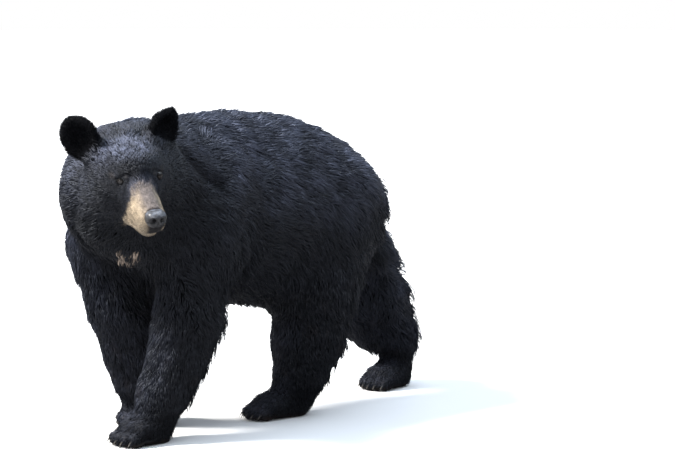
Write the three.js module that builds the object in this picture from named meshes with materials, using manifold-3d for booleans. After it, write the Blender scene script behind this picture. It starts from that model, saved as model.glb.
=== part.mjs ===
// A black bear in mid stride with its head turned to its left, a still life-size figure.
// Millimetres, +Z up. The bear faces -Y and its left side is +X. The paws stand on z = 0.
import * as THREE from "three";
import { mergeVertices } from "three/addons/utils/BufferGeometryUtils.js";
import Module from "manifold-3d";

const wasm = await Module();
wasm.setup();

// ---------- sizes ----------

const GAP = 0.3;
const GRAIN = 0.02;

// Trunk, to the tips of the coat, by distance behind the withers: back, belly and half width.
const TRUNK = [
  { y: -420, back: 720, belly: 440, half: 146 },
  { y: -340, back: 767, belly: 370, half: 184 },
  { y: -240, back: 800, belly: 330, half: 202 },
  { y: -140, back: 813, belly: 309, half: 212 },
  { y: -20, back: 805, belly: 294, half: 219 },
  { y: 100, back: 793, belly: 290, half: 219 },
  { y: 200, back: 770, belly: 316, half: 204 },
  { y: 285, back: 730, belly: 368, half: 174 },
];
const CHEST_ROUND = 94;
const RUMP_ROUND = 132;
const WIDEST_AT = 0.44;
const BACK_TAPER = 0.16;
const NECK = {
  base: [10, -300, 590],
  baseR: 182,
  throat: [52, -484, 620],
  throatR: 182,
  withers: [0, -272, 690],
  withersR: 98,
  nape: [104, -510, 668],
  napeR: 108,
};
const TAIL = { root: [8, 340, 642], rootR: 54, tip: [21, 482, 500], tipR: 33, around: 12, rings: 8 };

// Head: where it stands and how it is turned, then its masses in its own axes (x left, -y nose, z crown).
const HEAD_AT = [165, -601, 677];
const HEAD_YAW = 66.5;
const HEAD_PITCH = 17.9;
const HEAD_ROLL = -6.5;
const HEAD_SCALE = 1.045;
const CRANIUM = { at: [0, 34, 26], half: [86, 104, 84] };
const BROW = { at: [0, -40, 42], half: [60, 60, 48] };
const CHEEK = { at: [50, 6, -18], half: [48, 80, 74] };
const MUZZLE = { root: [0, -82, -14], rootR: 46, tip: [0, -168, -40], tipR: 33 };
const LIP = { back: [24, -104, -48], backR: 14, front: [18, -170, -50], frontR: 13 };
const JAW = { root: [0, -36, -60], rootR: 40, tip: [0, -152, -72], tipR: 18 };
const MOUTH = { z: -65, back: -92, front: -196, r: 2.4, sides: 6, steps: 18 };
const NOSE = { at: [0, -197, -27], half: [25, 17, 17], around: 14, rings: 10 };
const NOSTRIL = {
  at: [11, -214, -28],
  half: [4.8, 8, 6.5],
  slit: [19, -209, -31],
  slitHalf: [8, 8, 2.4],
  around: 8,
  rings: 6,
};
const EYE = { at: [45, -80, 20], look: [0.5, -0.85, 0.1], r: 11.5, deep: 9.5, around: 12, rings: 8 };
const LID = { r: 14.5, open: [8.8, 18, 5.6], ahead: 12 };

const EAR_HALF = [45, 24, 52];
const EAR_CUP = 7;
const EAR_RIM = 12;
const EAR_SEAT = { at: [0, 0, 13], half: [51, 31, 57], around: 16, rings: 10 };
const EAR_RIGHT = { at: [-101, 20, 80], out: -36, tilt: -22 };
const EAR_LEFT = { at: [93, 26, 84], out: 30, tilt: 46 };

// Legs, joint by joint, with the radius of the furred limb at each joint, then the paw.
const FORE_LEFT = {
  joints: [
    { at: [116, -256, 640], r: 84 },
    { at: [150, -346, 490], r: 104 },
    { at: [136, -366, 312], r: 85 },
    { at: [118, -442, 116], r: 66 },
  ],
  heel: [112, -460, 34],
  toes: [104, -545, 15],
  broad: 1.04,
};
const FORE_RIGHT = {
  joints: [
    { at: [-104, -280, 630], r: 84 },
    { at: [-120, -404, 486], r: 95 },
    { at: [-102, -384, 330], r: 80 },
    { at: [-98, -296, 116], r: 72 },
  ],
  heel: [-90, -258, 34],
  toes: [-80, -340, 15],
  broad: 1.04,
};
const HIND_LEFT = {
  joints: [
    { at: [98, 236, 560], r: 114 },
    { at: [124, 112, 350], r: 104 },
    { at: [106, 100, 200], r: 90 },
    { at: [92, 82, 96], r: 62 },
  ],
  heel: [86, 57, 34],
  toes: [70, -48, 15],
  broad: 0.94,
};
const HIND_RIGHT = {
  joints: [
    { at: [-95, 330, 560], r: 124 },
    { at: [-114, 514, 382], r: 98 },
    { at: [-88, 590, 256], r: 90 },
    { at: [-50, 646, 142], r: 56 },
  ],
  heel: [-42, 626, 38],
  toes: [-34, 536, 15],
  broad: 0.94,
};
const PALM = { r: 40, frontR: 36 };
const TOE = {
  apart: 21,
  knuckleR: 23,
  tipR: 13,
  reach: 15,
  swept: 3.2,
  bent: 34,
  pad: [25, 12.6, 17],
  padAt: [4, 15.5],
  around: 7,
  rings: 5,
};
const CLAW = { r: 5.2, from: 6, to: 37, high: 20, tip: 3, sides: 5, rings: 3 };

// Seams. Each part takes the body inside a block, from its low to its high corner, in axes that stand
// at a point and are turned about Z, X and Y: name, cell, turn, point, low, high.
const SEAMS = [
  ["head", "head", [48, 8, 0], [88, -555, 690], [-230, -420, -176], [156, 0, 230]],
  ["paw_fore_left", "paw", [0, 12, 0], [110, -450, 92], [-100, -260, -150], [100, 90, 0]],
  ["paw_fore_right", "paw", [0, -10, 0], [-90, -280, 92], [-90, -220, -150], [90, 90, 0]],
  ["paw_hind_left", "paw", [0, 0, 0], [82, 68, 92], [-94, -260, -150], [100, 120, 0]],
  ["paw_hind_right", "paw", [0, -10, 0], [-46, 626, 112], [-100, -260, -260], [100, 120, 0]],
  ["foreleg_left", "lower", [0, 0, 0], [0, 0, 0], [3, -640, -10], [300, -180, 292]],
  ["foreleg_right", "lower", [0, 0, 0], [0, 0, 0], [-300, -640, -10], [-3, -180, 292]],
  ["shank_left", "lower", [0, 0, 0], [0, 0, 0], [3, -60, -10], [300, 330, 274]],
  ["shank_right", "lower", [0, -30, 0], [-96, 584, 318], [-134, -160, -330], [140, 260, 0]],
  ["shoulder_left", "upper", [0, 0, 17], [18, -340, 290], [0, -160, -40], [300, 140, 330]],
  ["shoulder_right", "upper", [0, 0, -17], [-18, -370, 290], [-300, -160, -40], [0, 140, 330]],
  ["thigh_left", "upper", [0, 0, 13], [26, 190, 262], [0, -190, -40], [300, 170, 350]],
  ["thigh_right", "upper", [0, 0, -14], [25, 420, 262], [-340, -190, -100], [0, 400, 350]],
  ["neck", "neck", [14, -24, 0], [20, -388, 600], [-260, -330, -200], [260, 0, 260]],
];

// Cell of the faceted skin in each part of the body.
const CELL = {
  torso: 56,
  neck: 43,
  upper: 40,
  lower: 30,
  paw: 25,
  head: 22,
  muzzle: 13,
  ear: 13,
};

// ---------- solid kit: distance functions, their skin, and cuts ----------

const lerp = THREE.MathUtils.lerp;
const rad = THREE.MathUtils.degToRad;

function blend(a, b, soft) {
  const h = Math.max(soft - Math.abs(a - b), 0) / soft;
  return Math.min(a, b) - h * h * soft * 0.25;
}

function carve(a, b, soft) {
  return -blend(-a, b, soft);
}

function ellipsoid(at, half) {
  const [a, b, c] = half;
  return (x, y, z) => {
    const u = (x - at[0]) / a;
    const v = (y - at[1]) / b;
    const w = (z - at[2]) / c;
    const k0 = Math.hypot(u, v, w);
    const k1 = Math.hypot(u / a, v / b, w / c);
    return k1 < 1e-9 ? -Math.min(a, b, c) : (k0 * (k0 - 1)) / k1;
  };
}

function limb(a, ra, b, rb) {
  const ba = [b[0] - a[0], b[1] - a[1], b[2] - a[2]];
  const l2 = ba[0] ** 2 + ba[1] ** 2 + ba[2] ** 2;
  const rr = ra - rb;
  const a2 = l2 - rr * rr;
  return (x, y, z) => {
    const p = [x - a[0], y - a[1], z - a[2]];
    const t = p[0] * ba[0] + p[1] * ba[1] + p[2] * ba[2];
    const s = t - l2;
    const x2 = (p[0] * l2 - ba[0] * t) ** 2 + (p[1] * l2 - ba[1] * t) ** 2 + (p[2] * l2 - ba[2] * t) ** 2;
    const k = Math.sign(rr) * rr * rr * x2;
    if (Math.sign(s) * a2 * s * s * l2 > k) return Math.sqrt(x2 + s * s * l2) / l2 - rb;
    if (Math.sign(t) * a2 * t * t * l2 < k) return Math.sqrt(x2 + t * t * l2) / l2 - ra;
    return (Math.sqrt((x2 * a2) / l2) + t * rr) / l2 - ra;
  };
}

// A smooth value between stations along y.
function between(rows, key, y) {
  const last = rows.length - 1;
  if (y <= rows[0].y) return rows[0][key];
  if (y >= rows[last].y) return rows[last][key];
  let i = 0;
  while (rows[i + 1].y < y) i++;
  const slope = (j) => {
    const lo = rows[Math.max(j - 1, 0)];
    const hi = rows[Math.min(j + 1, last)];
    return (hi[key] - lo[key]) / (hi.y - lo.y);
  };
  const span = rows[i + 1].y - rows[i].y;
  const t = (y - rows[i].y) / span;
  const t2 = t * t;
  const t3 = t2 * t;
  return (
    (2 * t3 - 3 * t2 + 1) * rows[i][key] +
    (t3 - 2 * t2 + t) * span * slope(i) +
    (3 * t2 - 2 * t3) * rows[i + 1][key] +
    (t3 - t2) * span * slope(i + 1)
  );
}

function trunk(x, y, z) {
  const back = between(TRUNK, "back", y);
  const belly = between(TRUNK, "belly", y);
  const half = between(TRUNK, "half", y);
  const mid = lerp(belly, back, WIDEST_AT);
  const rise = z > mid ? (z - mid) / (back - mid) : (z - mid) / (mid - belly);
  const wide = half * (1 - BACK_TAPER * Math.max(rise, 0));
  const ahead = Math.max(TRUNK[0].y - y, 0) / CHEST_ROUND;
  const behind = Math.max(y - TRUNK[TRUNK.length - 1].y, 0) / RUMP_ROUND;
  const q = Math.hypot(x / wide, rise, ahead, behind);
  return (q - 1) * Math.min(half, (back - belly) / 2) * 0.9;
}

function fromBox(x, y, z, box) {
  return Math.max(box.min.x - x, x - box.max.x, box.min.y - y, y - box.max.y, box.min.z - z, z - box.max.z);
}

// Closed skin of a distance function inside a box: one vertex in each cell that the surface crosses.
function skin(distance, box, cell) {
  const size = box.getSize(new THREE.Vector3());
  const n = [size.x, size.y, size.z].map((s) => Math.ceil(s / cell) + 3);
  const at = (i, j, k) => [
    box.min.x + (i - 1) * cell,
    box.min.y + (j - 1) * cell,
    box.min.z + (k - 1) * cell,
  ];
  const field = (x, y, z) => Math.max(distance(x, y, z), fromBox(x, y, z, box));
  const values = new Float64Array((n[0] + 1) * (n[1] + 1) * (n[2] + 1));
  const node = (i, j, k) => (k * (n[1] + 1) + j) * (n[0] + 1) + i;
  for (let k = 0; k <= n[2]; k++)
    for (let j = 0; j <= n[1]; j++)
      for (let i = 0; i <= n[0]; i++) values[node(i, j, k)] = field(...at(i, j, k)) || 1e-6;
  const corners = [0, 1, 2, 3, 4, 5, 6, 7].map((c) => [c & 1, (c >> 1) & 1, c >> 2]);
  const edges = [];
  for (let a = 0; a < 8; a++)
    for (let b = a + 1; b < 8; b++)
      if ([1, 2, 4].includes(a ^ b)) edges.push([corners[a], corners[b]]);
  const step = cell * 0.02;
  const slope = (f, x, y, z) =>
    new THREE.Vector3(
      f(x + step, y, z) - f(x - step, y, z),
      f(x, y + step, z) - f(x, y - step, z),
      f(x, y, z + step) - f(x, y, z - step),
    ).divideScalar(2 * step);
  const points = [];
  const cellOf = new Int32Array((n[0] + 1) * (n[1] + 1) * (n[2] + 1)).fill(-1);
  for (let k = 0; k < n[2]; k++)
    for (let j = 0; j < n[1]; j++)
      for (let i = 0; i < n[0]; i++) {
        const sum = new THREE.Vector3();
        let crossings = 0;
        for (const [a, b] of edges) {
          const va = values[node(i + a[0], j + a[1], k + a[2])];
          const vb = values[node(i + b[0], j + b[1], k + b[2])];
          if (va < 0 === vb < 0) continue;
          const pa = new THREE.Vector3(...at(i + a[0], j + a[1], k + a[2]));
          const pb = new THREE.Vector3(...at(i + b[0], j + b[1], k + b[2]));
          sum.add(pa.lerp(pb, va / (va - vb)));
          crossings++;
        }
        if (!crossings) continue;
        sum.divideScalar(crossings);
        for (let pass = 0; pass < 2; pass++) {
          const d = field(sum.x, sum.y, sum.z);
          const g = slope(field, sum.x, sum.y, sum.z);
          const move = THREE.MathUtils.clamp(d / Math.max(g.lengthSq(), 0.04), -cell * 0.4, cell * 0.4);
          sum.addScaledVector(g, -move);
        }
        cellOf[node(i, j, k)] = points.length;
        points.push(sum);
      }
  const index = [];
  const quad = (a, b, c, d, flip) => {
    if (flip) [b, d] = [d, b];
    const p = [a, b, c, d].map((v) => points[v]);
    if (p[0].distanceTo(p[2]) <= p[1].distanceTo(p[3])) index.push(a, b, c, a, c, d);
    else index.push(a, b, d, b, c, d);
  };
  for (let k = 1; k < n[2]; k++)
    for (let j = 1; j < n[1]; j++)
      for (let i = 1; i < n[0]; i++) {
        const inside = values[node(i, j, k)] < 0;
        if (inside !== values[node(i + 1, j, k)] < 0)
          quad(
            cellOf[node(i, j - 1, k - 1)],
            cellOf[node(i, j, k - 1)],
            cellOf[node(i, j, k)],
            cellOf[node(i, j - 1, k)],
            !inside,
          );
        if (inside !== values[node(i, j + 1, k)] < 0)
          quad(
            cellOf[node(i - 1, j, k - 1)],
            cellOf[node(i - 1, j, k)],
            cellOf[node(i, j, k)],
            cellOf[node(i, j, k - 1)],
            !inside,
          );
        if (inside !== values[node(i, j, k + 1)] < 0)
          quad(
            cellOf[node(i - 1, j - 1, k)],
            cellOf[node(i, j - 1, k)],
            cellOf[node(i, j, k)],
            cellOf[node(i - 1, j, k)],
            !inside,
          );
      }
  const geometry = new THREE.BufferGeometry();
  geometry.setAttribute(
    "position",
    new THREE.Float32BufferAttribute(points.flatMap((p) => [p.x, p.y, p.z]), 3),
  );
  geometry.setIndex(index);
  return geometry;
}

function solid(geometry, matrix = new THREE.Matrix4()) {
  const bare = new THREE.BufferGeometry();
  bare.setAttribute("position", geometry.getAttribute("position").clone());
  if (geometry.index) bare.setIndex(geometry.index);
  bare.applyMatrix4(matrix);
  const merged = mergeVertices(bare, 1e-4);
  return new wasm.Manifold(
    new wasm.Mesh({
      numProp: 3,
      vertProperties: merged.attributes.position.array,
      triVerts: new Uint32Array(merged.index.array),
    }),
  );
}

// The largest closed surface of a cut solid.
function whole(made) {
  const bodies = made.decompose();
  return bodies.reduce((a, b) => (b.volume() > a.volume() ? b : a));
}

// The surface of a solid. Corners joined by an edge shorter than the grain become one, and corners of
// two sheets that only touch move a little apart.
function geometryOf(made) {
  const mesh = made.getMesh();
  const points = Array.from({ length: mesh.numVert }, (_, v) =>
    new THREE.Vector3().fromArray(mesh.vertProperties, v * mesh.numProp),
  );
  const same = points.map((_, v) => v);
  const root = (v) => (same[v] === v ? v : root(same[v]));
  for (let t = 0; t < mesh.triVerts.length; t += 3) {
    for (let k = 0; k < 3; k++) {
      const a = root(mesh.triVerts[t + k]);
      const b = root(mesh.triVerts[t + ((k + 1) % 3)]);
      if (a !== b && points[a].distanceTo(points[b]) < GRAIN) same[b] = a;
    }
  }
  const faces = new Map();
  for (let t = 0; t < mesh.triVerts.length; t += 3) {
    const face = [0, 1, 2].map((k) => root(mesh.triVerts[t + k]));
    if (new Set(face).size < 3) continue;
    const key = [...face].sort((a, b) => a - b).join();
    if (faces.has(key)) faces.delete(key);
    else faces.set(key, face);
  }
  const around = new Map();
  for (const face of faces.values()) {
    for (const v of face) around.set(v, [...(around.get(v) || []), ...face.filter((w) => w !== v)]);
  }
  const touching = new Map();
  for (const v of around.keys()) {
    const key = points[v].toArray().map((c) => Math.round(c / GRAIN)).join();
    touching.set(key, [...(touching.get(key) || []), v]);
  }
  for (const sheet of [...touching.values()].filter((list) => list.length > 1).flat()) {
    const ring = around.get(sheet);
    const middle = ring.reduce((sum, w) => sum.add(points[w]), new THREE.Vector3()).divideScalar(ring.length);
    points[sheet].add(middle.sub(points[sheet]).setLength(4 * GRAIN));
  }
  const geometry = new THREE.BufferGeometry();
  geometry.setFromPoints(points);
  geometry.setIndex([...faces.values()].flat());
  geometry.computeVertexNormals();
  return geometry;
}

// ---------- the animal as one distance function ----------

function placed(matrix, f) {
  const m = matrix.clone().invert().elements;
  const scale = matrix.getMaxScaleOnAxis();
  return (x, y, z) =>
    scale *
    f(
      m[0] * x + m[4] * y + m[8] * z + m[12],
      m[1] * x + m[5] * y + m[9] * z + m[13],
      m[2] * x + m[6] * y + m[10] * z + m[14],
    );
}

function turned(yaw, pitch, roll, at) {
  return new THREE.Matrix4()
    .makeRotationZ(rad(yaw))
    .multiply(new THREE.Matrix4().makeRotationX(rad(pitch)))
    .multiply(new THREE.Matrix4().makeRotationY(rad(roll)))
    .setPosition(...at);
}

function sided(side, at) {
  return [side * at[0], at[1], at[2]];
}

function chain(parts, soft) {
  return (x, y, z) => parts.reduce((d, f) => blend(d, f(x, y, z), soft), 1e6);
}

const headAxes = turned(HEAD_YAW, HEAD_PITCH, HEAD_ROLL, HEAD_AT);
const headMatrix = headAxes.clone().scale(new THREE.Vector3(HEAD_SCALE, HEAD_SCALE, HEAD_SCALE));

const skull = (() => {
  const dome = chain(
    [
      ellipsoid(CRANIUM.at, CRANIUM.half),
      ellipsoid(BROW.at, BROW.half),
      ellipsoid(CHEEK.at, CHEEK.half),
      ellipsoid(sided(-1, CHEEK.at), CHEEK.half),
    ],
    40,
  );
  const lips = [1, -1].map((side) => {
    return limb(sided(side, LIP.back), LIP.backR, sided(side, LIP.front), LIP.frontR);
  });
  const muzzle = chain([limb(MUZZLE.root, MUZZLE.rootR, MUZZLE.tip, MUZZLE.tipR), ...lips], 12);
  const jaw = limb(JAW.root, JAW.rootR, JAW.tip, JAW.tipR);
  return (x, y, z) => blend(dome(x, y, z), blend(muzzle(x, y, z), jaw(x, y, z), 9), 30);
})();

function earMatrix(ear) {
  return turned(ear.out, 0, ear.tilt, ear.at);
}

function earShape(ear) {
  const shell = ellipsoid([0, 0, 10], EAR_HALF);
  const cup = ellipsoid([0, -EAR_HALF[1], 12], [EAR_HALF[0] - EAR_CUP, EAR_HALF[1], EAR_HALF[2] - EAR_CUP]);
  return placed(earMatrix(ear), (x, y, z) => carve(shell(x, y, z), cup(x, y, z), EAR_RIM));
}

const head = placed(headMatrix, chain([skull, earShape(EAR_LEFT), earShape(EAR_RIGHT)], 18));

// Where a paw points, and the knuckle and tip of each of its five toes.
function pawAxes(leg) {
  const fore = new THREE.Vector3(leg.toes[0] - leg.heel[0], leg.toes[1] - leg.heel[1], 0).normalize();
  const across = new THREE.Vector3(-fore.y, fore.x, 0);
  const toes = [-2, -1, 0, 1, 2].map((i) => {
    const tip = new THREE.Vector3(...leg.toes)
      .addScaledVector(across, i * TOE.apart * leg.broad)
      .addScaledVector(fore, TOE.reach - TOE.swept * i * i);
    const knuckle = new THREE.Vector3(...leg.toes)
      .addScaledVector(across, i * TOE.apart * leg.broad * 0.88)
      .addScaledVector(fore, -40)
      .setZ(TOE.bent);
    return { tip, knuckle };
  });
  return { fore, across, toes };
}

function limbOf(leg) {
  const parts = [];
  for (let i = 1; i < leg.joints.length; i++) {
    const [a, b] = [leg.joints[i - 1], leg.joints[i]];
    parts.push(limb(a.at, a.r, b.at, b.r));
  }
  const ankle = leg.joints[leg.joints.length - 1];
  parts.push(limb(ankle.at, ankle.r * 0.95, leg.heel, PALM.r + 2));
  const { toes } = pawAxes(leg);
  const foot = chain(
    [
      limb(leg.heel, PALM.r, toes[1].knuckle.toArray(), PALM.frontR),
      limb(leg.heel, PALM.r, toes[3].knuckle.toArray(), PALM.frontR),
      ...toes.map((t) => limb(t.knuckle.toArray(), TOE.knuckleR, t.tip.toArray(), TOE.tipR)),
    ],
    9,
  );
  const bones = chain(parts, 34);
  return (x, y, z) => blend(bones(x, y, z), foot(x, y, z), 30);
}

const body = chain(
  [
    trunk,
    chain(
      [
        limb(NECK.base, NECK.baseR, NECK.throat, NECK.throatR),
        limb(NECK.withers, NECK.withersR, NECK.nape, NECK.napeR),
      ],
      50,
    ),
    limbOf(FORE_LEFT),
    limbOf(FORE_RIGHT),
    limbOf(HIND_LEFT),
    limbOf(HIND_RIGHT),
  ],
  56,
);

function bear(x, y, z) {
  return blend(body(x, y, z), head(x, y, z), 44);
}

// ---------- parting the body ----------

// A block that bounds one part: from corner to corner in its own turned axes.
function block(matrix, low, high) {
  const size = new THREE.Vector3(...high).sub(new THREE.Vector3(...low));
  const middle = new THREE.Vector3(...low).add(new THREE.Vector3(...high)).divideScalar(2);
  const at = matrix.clone().multiply(new THREE.Matrix4().setPosition(middle));
  const sized = (grow) =>
    solid(new THREE.BoxGeometry(size.x + 2 * grow, size.y + 2 * grow, size.z + 2 * grow), at);
  return { solid: sized(0), grown: sized(GAP) };
}

function egg(matrix, half, grow, around, rings) {
  const shape = new THREE.SphereGeometry(1, around, rings);
  shape.scale(half[0] + grow, half[1] + grow, half[2] + grow);
  return solid(shape, matrix);
}

// The rounded seat in which an ear stands on the head.
function earSeat(ear) {
  const at = headMatrix
    .clone()
    .multiply(earMatrix(ear))
    .multiply(new THREE.Matrix4().setPosition(...EAR_SEAT.at));
  const sized = (grow) => egg(at, EAR_SEAT.half, grow, EAR_SEAT.around, EAR_SEAT.rings);
  return { solid: sized(0), grown: sized(GAP) };
}

const FLOOR = block(new THREE.Matrix4(), [-600, -1200, 0], [700, 1200, 1000]).solid;
const MUZZLE_BLOCK = block(headAxes, [-80, -250, MOUTH.z + GAP], [80, MOUTH.back - 14, 60]);
// In order: each part takes its block of the body, less the blocks before it.
const PARTS = [
  ["ear_left", earSeat(EAR_LEFT), CELL.ear],
  ["ear_right", earSeat(EAR_RIGHT), CELL.ear],
  ["jaw", block(headAxes, [-70, -240, -130], [70, MOUTH.back + 2, MOUTH.z]), CELL.muzzle],
  ["muzzle", MUZZLE_BLOCK, CELL.muzzle],
  ...SEAMS.map(([name, cell, turn, at, low, high]) => {
    return [name, block(turned(...turn, at), low, high), CELL[cell]];
  }),
];

// The tail is a turned drop, thicker at its root, sunk in the rump.
function tailSolid(grow) {
  const root = new THREE.Vector3(...TAIL.root);
  const tip = new THREE.Vector3(...TAIL.tip);
  const long = root.distanceTo(tip) / 2 + grow;
  const profile = [];
  for (let i = 0; i <= TAIL.rings; i++) {
    const along = -Math.cos((i / TAIL.rings) * Math.PI);
    const full = lerp(TAIL.tipR, TAIL.rootR, (along + 1) / 2) + grow;
    const end = i === 0 || i === TAIL.rings;
    profile.push(new THREE.Vector2(end ? 0 : full * Math.sqrt(1 - along * along), along * long));
  }
  const turn = new THREE.Quaternion().setFromUnitVectors(
    new THREE.Vector3(0, 1, 0),
    root.clone().sub(tip).normalize(),
  );
  const middle = root.clone().add(tip).divideScalar(2);
  const at = new THREE.Matrix4().compose(middle, turn, new THREE.Vector3(1, 1, 1));
  return solid(new THREE.LatheGeometry(profile, TAIL.around), at);
}

const flesh = {};
PARTS.forEach(([name, region, cell], i) => {
  const { min, max } = region.solid.boundingBox();
  const around = new THREE.Box3(new THREE.Vector3(...min), new THREE.Vector3(...max));
  around.expandByScalar(cell * 1.5);
  let part = solid(skin(bear, around, cell)).intersect(region.solid).intersect(FLOOR);
  for (const [, other] of PARTS.slice(0, i)) part = part.subtract(other.grown);
  flesh[name] = whole(part);
});
const bodyBox = new THREE.Box3(new THREE.Vector3(-300, -800, 100), new THREE.Vector3(460, 900, 880));
flesh.torso = solid(skin(bear, bodyBox, CELL.torso));
for (const [, region] of PARTS) flesh.torso = flesh.torso.subtract(region.grown);
flesh.tail = tailSolid(0);
for (const name of ["torso", "thigh_right"]) flesh[name] = whole(flesh[name].subtract(tailSolid(GAP)));

// ---------- nose, mouth, eyes and lids ----------

function inHead(at) {
  return headMatrix.clone().multiply(new THREE.Matrix4().setPosition(...at));
}

const noseAt = inHead(NOSE.at);
flesh.nose = egg(noseAt, NOSE.half, 0, NOSE.around, NOSE.rings);
for (const side of [1, -1]) {
  flesh.nose = flesh.nose
    .subtract(egg(inHead(sided(side, NOSTRIL.at)), NOSTRIL.half, 0, NOSTRIL.around, NOSTRIL.rings))
    .subtract(egg(inHead(sided(side, NOSTRIL.slit)), NOSTRIL.slitHalf, 0, NOSTRIL.around, NOSTRIL.rings));
}
flesh.muzzle = flesh.muzzle.subtract(egg(noseAt, NOSE.half, GAP, NOSE.around, NOSE.rings));

// The point where a ray leaves the body.
function surfaceAlong(from, direction, reach) {
  let [inside, outside] = [0, reach];
  for (let pass = 0; pass < 30; pass++) {
    const middle = (inside + outside) / 2;
    const p = from.clone().addScaledVector(direction, middle);
    if (bear(p.x, p.y, p.z) < 0) inside = middle;
    else outside = middle;
  }
  return from.clone().addScaledVector(direction, inside);
}

const headLeft = new THREE.Vector3(1, 0, 0).transformDirection(headAxes);
const headAhead = new THREE.Vector3(0, -1, 0).transformDirection(headAxes);
const mouthPoints = [];
for (const side of [1, -1]) {
  const half = [0, 0.3, 0.55, 0.78, 0.93].map((t) => {
    const core = new THREE.Vector3(0, lerp(MOUTH.back, MOUTH.front, t), MOUTH.z).applyMatrix4(headAxes);
    return surfaceAlong(core, headLeft.clone().multiplyScalar(side), 90);
  });
  mouthPoints.push(...(side > 0 ? half : half.reverse()));
  if (side > 0) {
    const core = new THREE.Vector3(0, MOUTH.back, MOUTH.z).applyMatrix4(headAxes);
    mouthPoints.push(surfaceAlong(core, headAhead, 200));
  }
}
const mouthLine = new THREE.CatmullRomCurve3(mouthPoints);
const mouthRound = new THREE.Shape(
  Array.from({ length: MOUTH.sides }, (_, i) => {
    const turn = (i / MOUTH.sides) * 2 * Math.PI;
    return new THREE.Vector2(MOUTH.r * Math.cos(turn), MOUTH.r * Math.sin(turn));
  }),
);
const mouth = solid(
  new THREE.ExtrudeGeometry(mouthRound, { steps: MOUTH.steps, extrudePath: mouthLine, bevelEnabled: false }),
);
for (const name of ["muzzle", "jaw", "head"]) flesh[name] = whole(flesh[name].subtract(mouth));

const eyes = {};
for (const [name, side] of [["eye_left", 1], ["eye_right", -1]]) {
  const look = new THREE.Vector3(...sided(side, EYE.look)).transformDirection(headAxes);
  const from = new THREE.Vector3(...sided(side, EYE.at)).applyMatrix4(headMatrix).addScaledVector(look, -60);
  const centre = surfaceAlong(from, look, 120).addScaledVector(look, -EYE.deep);
  const turn = new THREE.Quaternion().setFromUnitVectors(new THREE.Vector3(0, -1, 0), look);
  const at = new THREE.Matrix4().compose(centre, turn, new THREE.Vector3(1, 1, 1));
  const ball = [EYE.r, EYE.r, EYE.r];
  eyes[name] = egg(at, ball, 0, EYE.around, EYE.rings);
  const lid = egg(at, [LID.r, LID.r, LID.r], 0, EYE.around, EYE.rings).subtract(MUZZLE_BLOCK.grown);
  const ahead = at.clone().multiply(new THREE.Matrix4().setPosition(0, -LID.ahead, 0));
  const opening = egg(ahead, LID.open, 0, EYE.around, EYE.rings);
  flesh.head = flesh.head.add(lid).subtract(egg(at, ball, GAP, EYE.around, EYE.rings)).subtract(opening);
}
flesh.head = whole(flesh.head);

// ---------- toes and claws ----------

function clawSolid(tip, fore, across, grow) {
  const curve = new THREE.QuadraticBezierCurve3(
    tip.clone().addScaledVector(fore, CLAW.from - grow).setZ(CLAW.high),
    tip.clone().addScaledVector(fore, lerp(CLAW.from, CLAW.to, 0.7)).setZ(CLAW.high + 4),
    tip.clone().addScaledVector(fore, CLAW.to).setZ(CLAW.tip),
  );
  const horn = new THREE.ConeGeometry(CLAW.r + grow, 1, CLAW.sides, CLAW.rings);
  const position = horn.getAttribute("position");
  for (let i = 0; i < position.count; i++) {
    const along = position.getY(i) + 0.5;
    const up = new THREE.Vector3().crossVectors(curve.getTangent(along), across);
    const p = curve.getPoint(along);
    p.addScaledVector(across, -position.getX(i)).addScaledVector(up, position.getZ(i));
    position.setXYZ(i, p.x, p.y, p.z);
  }
  return solid(horn);
}

const claws = {};
for (const [paw, leg] of [
  ["fore_left", FORE_LEFT],
  ["fore_right", FORE_RIGHT],
  ["hind_left", HIND_LEFT],
  ["hind_right", HIND_RIGHT],
]) {
  const { fore, across, toes } = pawAxes(leg);
  for (const { tip } of toes) {
    const at = new THREE.Matrix4()
      .makeBasis(fore, across, new THREE.Vector3(0, 0, 1))
      .setPosition(tip.clone().addScaledVector(fore, TOE.padAt[0]).setZ(TOE.padAt[1]));
    const half = [TOE.pad[0], TOE.pad[1] * leg.broad, TOE.pad[2]];
    const toe = egg(at, half, 0, TOE.around, TOE.rings).intersect(FLOOR);
    flesh["paw_" + paw] = flesh["paw_" + paw].add(toe);
  }
  toes.forEach(({ tip }, i) => {
    claws["claw_" + paw + "_" + (i + 1)] = clawSolid(tip, fore, across, 0);
    flesh["paw_" + paw] = flesh["paw_" + paw].subtract(clawSolid(tip, fore, across, GAP));
  });
  flesh["paw_" + paw] = whole(flesh["paw_" + paw]);
}

// ---------- the finished figure ----------

const COAT = new THREE.MeshStandardMaterial({ color: 0x14161b, roughness: 0.75, metalness: 0 });
const MUZZLE_COAT = new THREE.MeshStandardMaterial({ color: 0xa5825c, roughness: 0.8, metalness: 0 });
const NOSE_SKIN = new THREE.MeshStandardMaterial({ color: 0x22242a, roughness: 0.45, metalness: 0 });
const EYE_GLASS = new THREE.MeshStandardMaterial({ color: 0x1c0f08, roughness: 0.08, metalness: 0 });
const HORN = new THREE.MeshStandardMaterial({ color: 0x3a352f, roughness: 0.4, metalness: 0 });

const group = new THREE.Group();
function add(name, made, material) {
  const mesh = new THREE.Mesh(geometryOf(made), material);
  mesh.name = name;
  group.add(mesh);
}
for (const [name, made] of Object.entries(flesh)) {
  add(name, made, name === "nose" ? NOSE_SKIN : name === "muzzle" ? MUZZLE_COAT : COAT);
}
for (const [name, made] of Object.entries(eyes)) add(name, made, EYE_GLASS);
for (const [name, made] of Object.entries(claws)) add(name, made, HORN);

// The origin is the middle of the figure's box, on the floor.
const middle = new THREE.Box3().setFromObject(group).getCenter(new THREE.Vector3());
for (const mesh of group.children) mesh.geometry.translate(-middle.x, -middle.y, 0);

export default group;
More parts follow.
